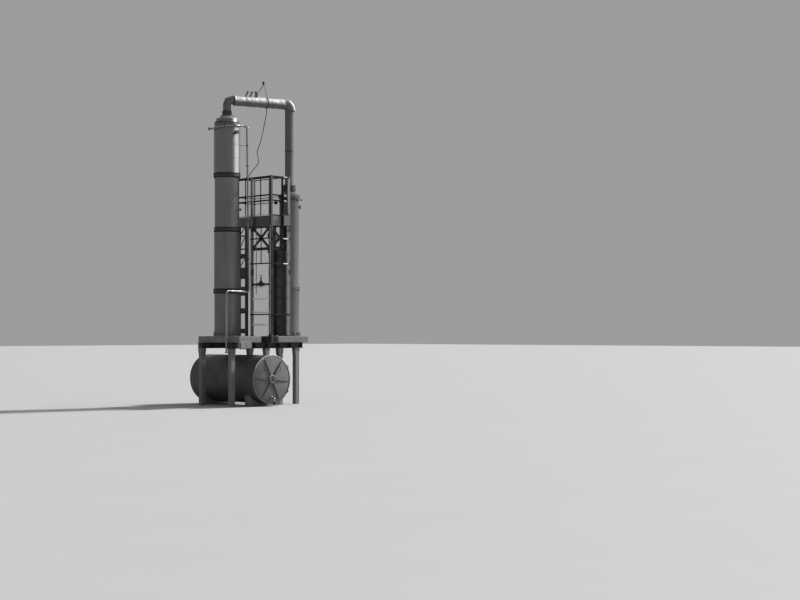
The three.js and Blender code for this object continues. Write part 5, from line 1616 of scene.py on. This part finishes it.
def makeJunctionBox(values):
    low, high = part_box(values["node"])
    piece = beginPiece("junctionBox", "boxPaint", "gasketAndShade", "boltSteel")
    arch, face, middle = values["arch"], low.y + 0.016, (low.x + high.x) / 2
    shoulder, wide = high.z - arch, high.x - low.x
    # Body with a rounded top, made from its outline
    outline = [(low.x, high.y, low.z), (high.x, high.y, low.z), (high.x, high.y, shoulder)]
    for k in range(1, 12):
        turn = math.pi * k / 12
        outline.append((middle + (high.x - middle) * math.cos(turn), high.y, shoulder + arch * math.sin(turn)))
    outline.append((low.x, high.y, shoulder))
    addPlate(outline, (0, face - high.y, 0), 0, 0.005)
    addBlock((low.x + 0.02, low.y + 0.008, low.z + 0.018), (high.x - 0.02, face + 0.001, shoulder - 0.004), 0.003, 1)
    # Two doors, each with its hinges and a latch
    leaf = (wide - 0.048) / 2
    first = low.x + 0.022
    for start, hingeAt, latchAt in ((first, 0, leaf - 0.022), (first + (wide - 0.04) / 2, leaf, 0.022)):
        addBlock((start, low.y, low.z + 0.02), (start + leaf, low.y + 0.01, shoulder - 0.006), 0.003)
        hinge = (start + hingeAt, low.y + 0.004)
        for height in (low.z + 0.045, shoulder - 0.032):
            addRod((*hinge, height - 0.012), (*hinge, height + 0.012), 0.006, 10, 0.001, 2)
        addTurned([(0, 0), (0.011, 0), (0.011, 0.002), (0.009, 0.004), (0, 0.004)],
                  (start + latchAt, low.y + 0.003, (low.z + shoulder) / 2), 20, 2, toFront)
    radius = values["glandRadius"]
    for k in range(values["glands"]):
        x = low.x + 0.07 + (wide - 0.14) * k / (values["glands"] - 1)
        addTurned([(0, 0.002), (radius, 0.002), (radius, -0.01), (radius * 0.8, -0.014), (radius * 0.8, -0.026),
                   (radius * 0.55, -0.032), (0, -0.032)], (x, (low.y + high.y) / 2 + 0.01, low.z), 12, 1)
    finishPiece(piece, "pipe_steel", values["node"])


makeJunctionBox(boxOnSlab)

lamp = {
    "distance": 1.16, "foot": 9.5123, "collar": 1.256, "collarRadius": 0.1496, "cableEye": (0.3775, -0.4464, 8.772),
}


def makeLamp(values):
    foot = onLine(values["distance"], values["foot"])
    piece = beginPiece("lampShade", "darkSteel", "opalGlass", "boltSteel")
    addTurned([(0.047, 0.0005), (0.0495, 0), (0.05, 0.002), (0.05, 0.009), (0.0475, 0.013), (0.042, 0.026),
               (0.033, 0.049), (0.025, 0.068), (0.02, 0.074), (0.0135, 0.08), (0.011, 0.084), (0, 0.084),
               (0, 0.078), (0.012, 0.074), (0.022, 0.066), (0.044, 0.012), (0.047, 0.0005)], foot, 36)
    addTurned([(0, 0.006), (0.012, 0.009), (0.019, 0.017), (0.021, 0.026), (0.018, 0.036), (0.012, 0.044),
               (0.011, 0.074), (0, 0.074)], foot, 24, 1)
    addTurned([(0.0005, 0.0), (0.013, 0.0), (0.013, 0.006), (0.0005, 0.0095), (0.0005, 0.0)], foot, 16, 2)
    finishPiece(piece, "dark_steel", "lamp_shade", smoothDegrees=40)

    ring = beginPiece("cableCollar", "darkSteel", "boltSteel")
    inner = values["collarRadius"]
    middle = onLine(values["collar"], overheadLine["runHeight"])
    addTurned([(inner, -0.009), (inner + 0.009, -0.009), (inner + 0.011, -0.006), (inner + 0.011, 0.006),
               (inner + 0.009, 0.009), (inner, 0.009), (inner, -0.009)], middle, 64, axis=lineDirection)
    # Ears of the collar at its foot, with the bolt that closes it on the cable's eye
    below = middle - Vector((0, 0, inner + 0.004))
    side = lineDirection.cross(Vector(up))
    for way in bothWays:
        ear = below + side * 0.016 * way
        addBar(ear, ear - Vector((0, 0, 0.022)), 0.018, 0.005, side, 0.001)
    bolt = below - Vector((0, 0, 0.012))
    addRod(bolt - side * 0.026, bolt + side * 0.026, 0.004, 10, 0, 1)
    addTurned([(0.01, -0.008), (0.0155, -0.006), (0.0155, 0.008), (0.0125, 0.012), (0.01, 0.012), (0.01, -0.008)],
              values["cableEye"], 16, 1)
    finishPiece(ring, "dark_steel", "cable_collar")


makeLamp(lamp)

railClamp = {"place": (0.0665, 0.1005, 6.742), "half": 0.021, "long": 0.013}


def makeRailClamp(values):
    # Saddle clamp that holds the cable's end on the guard rail
    x, y, z = values["place"]
    half, long = values["half"], values["long"]
    piece = beginPiece("railClamp", "darkSteel", "boltSteel")
    addBlock((x - half, y - long, z - 0.036), (x + half, y + long, z + 0.027), 0.006)
    addBlock((x - half - 0.014, y - long, z - 0.008), (x + half + 0.014, y + long, z - 0.002), 0.001)
    boltsAt([(x - half - 0.008, y, z - 0.002), (x + half + 0.008, y, z - 0.002)], up, 0.0055, 0.014)
    finishPiece(piece, "dark_steel")


makeRailClamp(railClamp)

# The cable from the collar on the overhead line, hanging down to lie on the left guard rail
lampCable = {
    "diameter": 0.024,
    "length": 2.25,
    "route": [
        (0.3775, -0.4464, 8.7888), (0.3758, -0.4438, 8.6592), (0.3699, -0.4348, 8.5924), (0.3617, -0.4224, 8.5115),
        (0.3517, -0.4072, 8.4194), (0.3402, -0.3897, 8.3191), (0.3294, -0.3732, 8.2265), (0.3168, -0.354, 8.121),
        (0.3035, -0.3339, 8.0131), (0.2906, -0.3143, 7.913), (0.2792, -0.2969, 7.8311), (0.2554, -0.2607, 7.7059),
        (0.2368, -0.2325, 7.6247), (0.2182, -0.2042, 7.4886), (0.2267, -0.217, 7.387), (0.2419, -0.2402, 7.2823),
        (0.2368, -0.2325, 7.1843), (0.208, -0.1887, 7.0902), (0.1572, -0.1114, 6.9908), (0.1114, -0.0418, 6.8913),
        (0.0826, 0.002, 6.8089), (0.0665, 0.0265, 6.7583), (0.0665, 0.0545, 6.7543), (0.0665, 0.1025, 6.7543),
    ],
}


def makeCable(values):
    curve = bpy.data.curves.new("hangingCable", "CURVE")
    curve.dimensions = "3D"
    curve.bevel_depth = values["diameter"] / 2
    curve.bevel_resolution = 4
    curve.resolution_u = 4
    curve.use_fill_caps = True
    spline = curve.splines.new("BEZIER")
    spline.bezier_points.add(len(values["route"]) - 1)
    for knot, point in zip(spline.bezier_points, values["route"]):
        knot.co = point
        knot.handle_left_type = knot.handle_right_type = "AUTO"
    cable = bpy.data.objects.new("hangingCable", curve)
    bpy.context.scene.collection.objects.link(cable)
    curve.materials.append(finishes["sheath"])
    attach(cable, "root")
    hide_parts("lamp_cable")


makeCable(lampCable)


def makeFloor(values):
    bpy.ops.object.select_all(action="DESELECT")
    bpy.ops.mesh.primitive_plane_add(size=2 * values["floorReach"], location=(0, 0, -0.002))
    floor = bpy.context.object
    floor.name = "studioFloor"
    finish, tree, shader = newFinish("floorPaint", 0.85)
    tone = values["floorTone"]
    colour = blendTones(tree, noiseOver(tree, objectPlace(tree), 0.6, 4.0), tone, tone * 0.94)
    tree.links.new(colour, shader.inputs["Base Color"])
    floor.data.materials.append(finish)


makeFloor(studio)
print("stage: camera, cable and floor made")
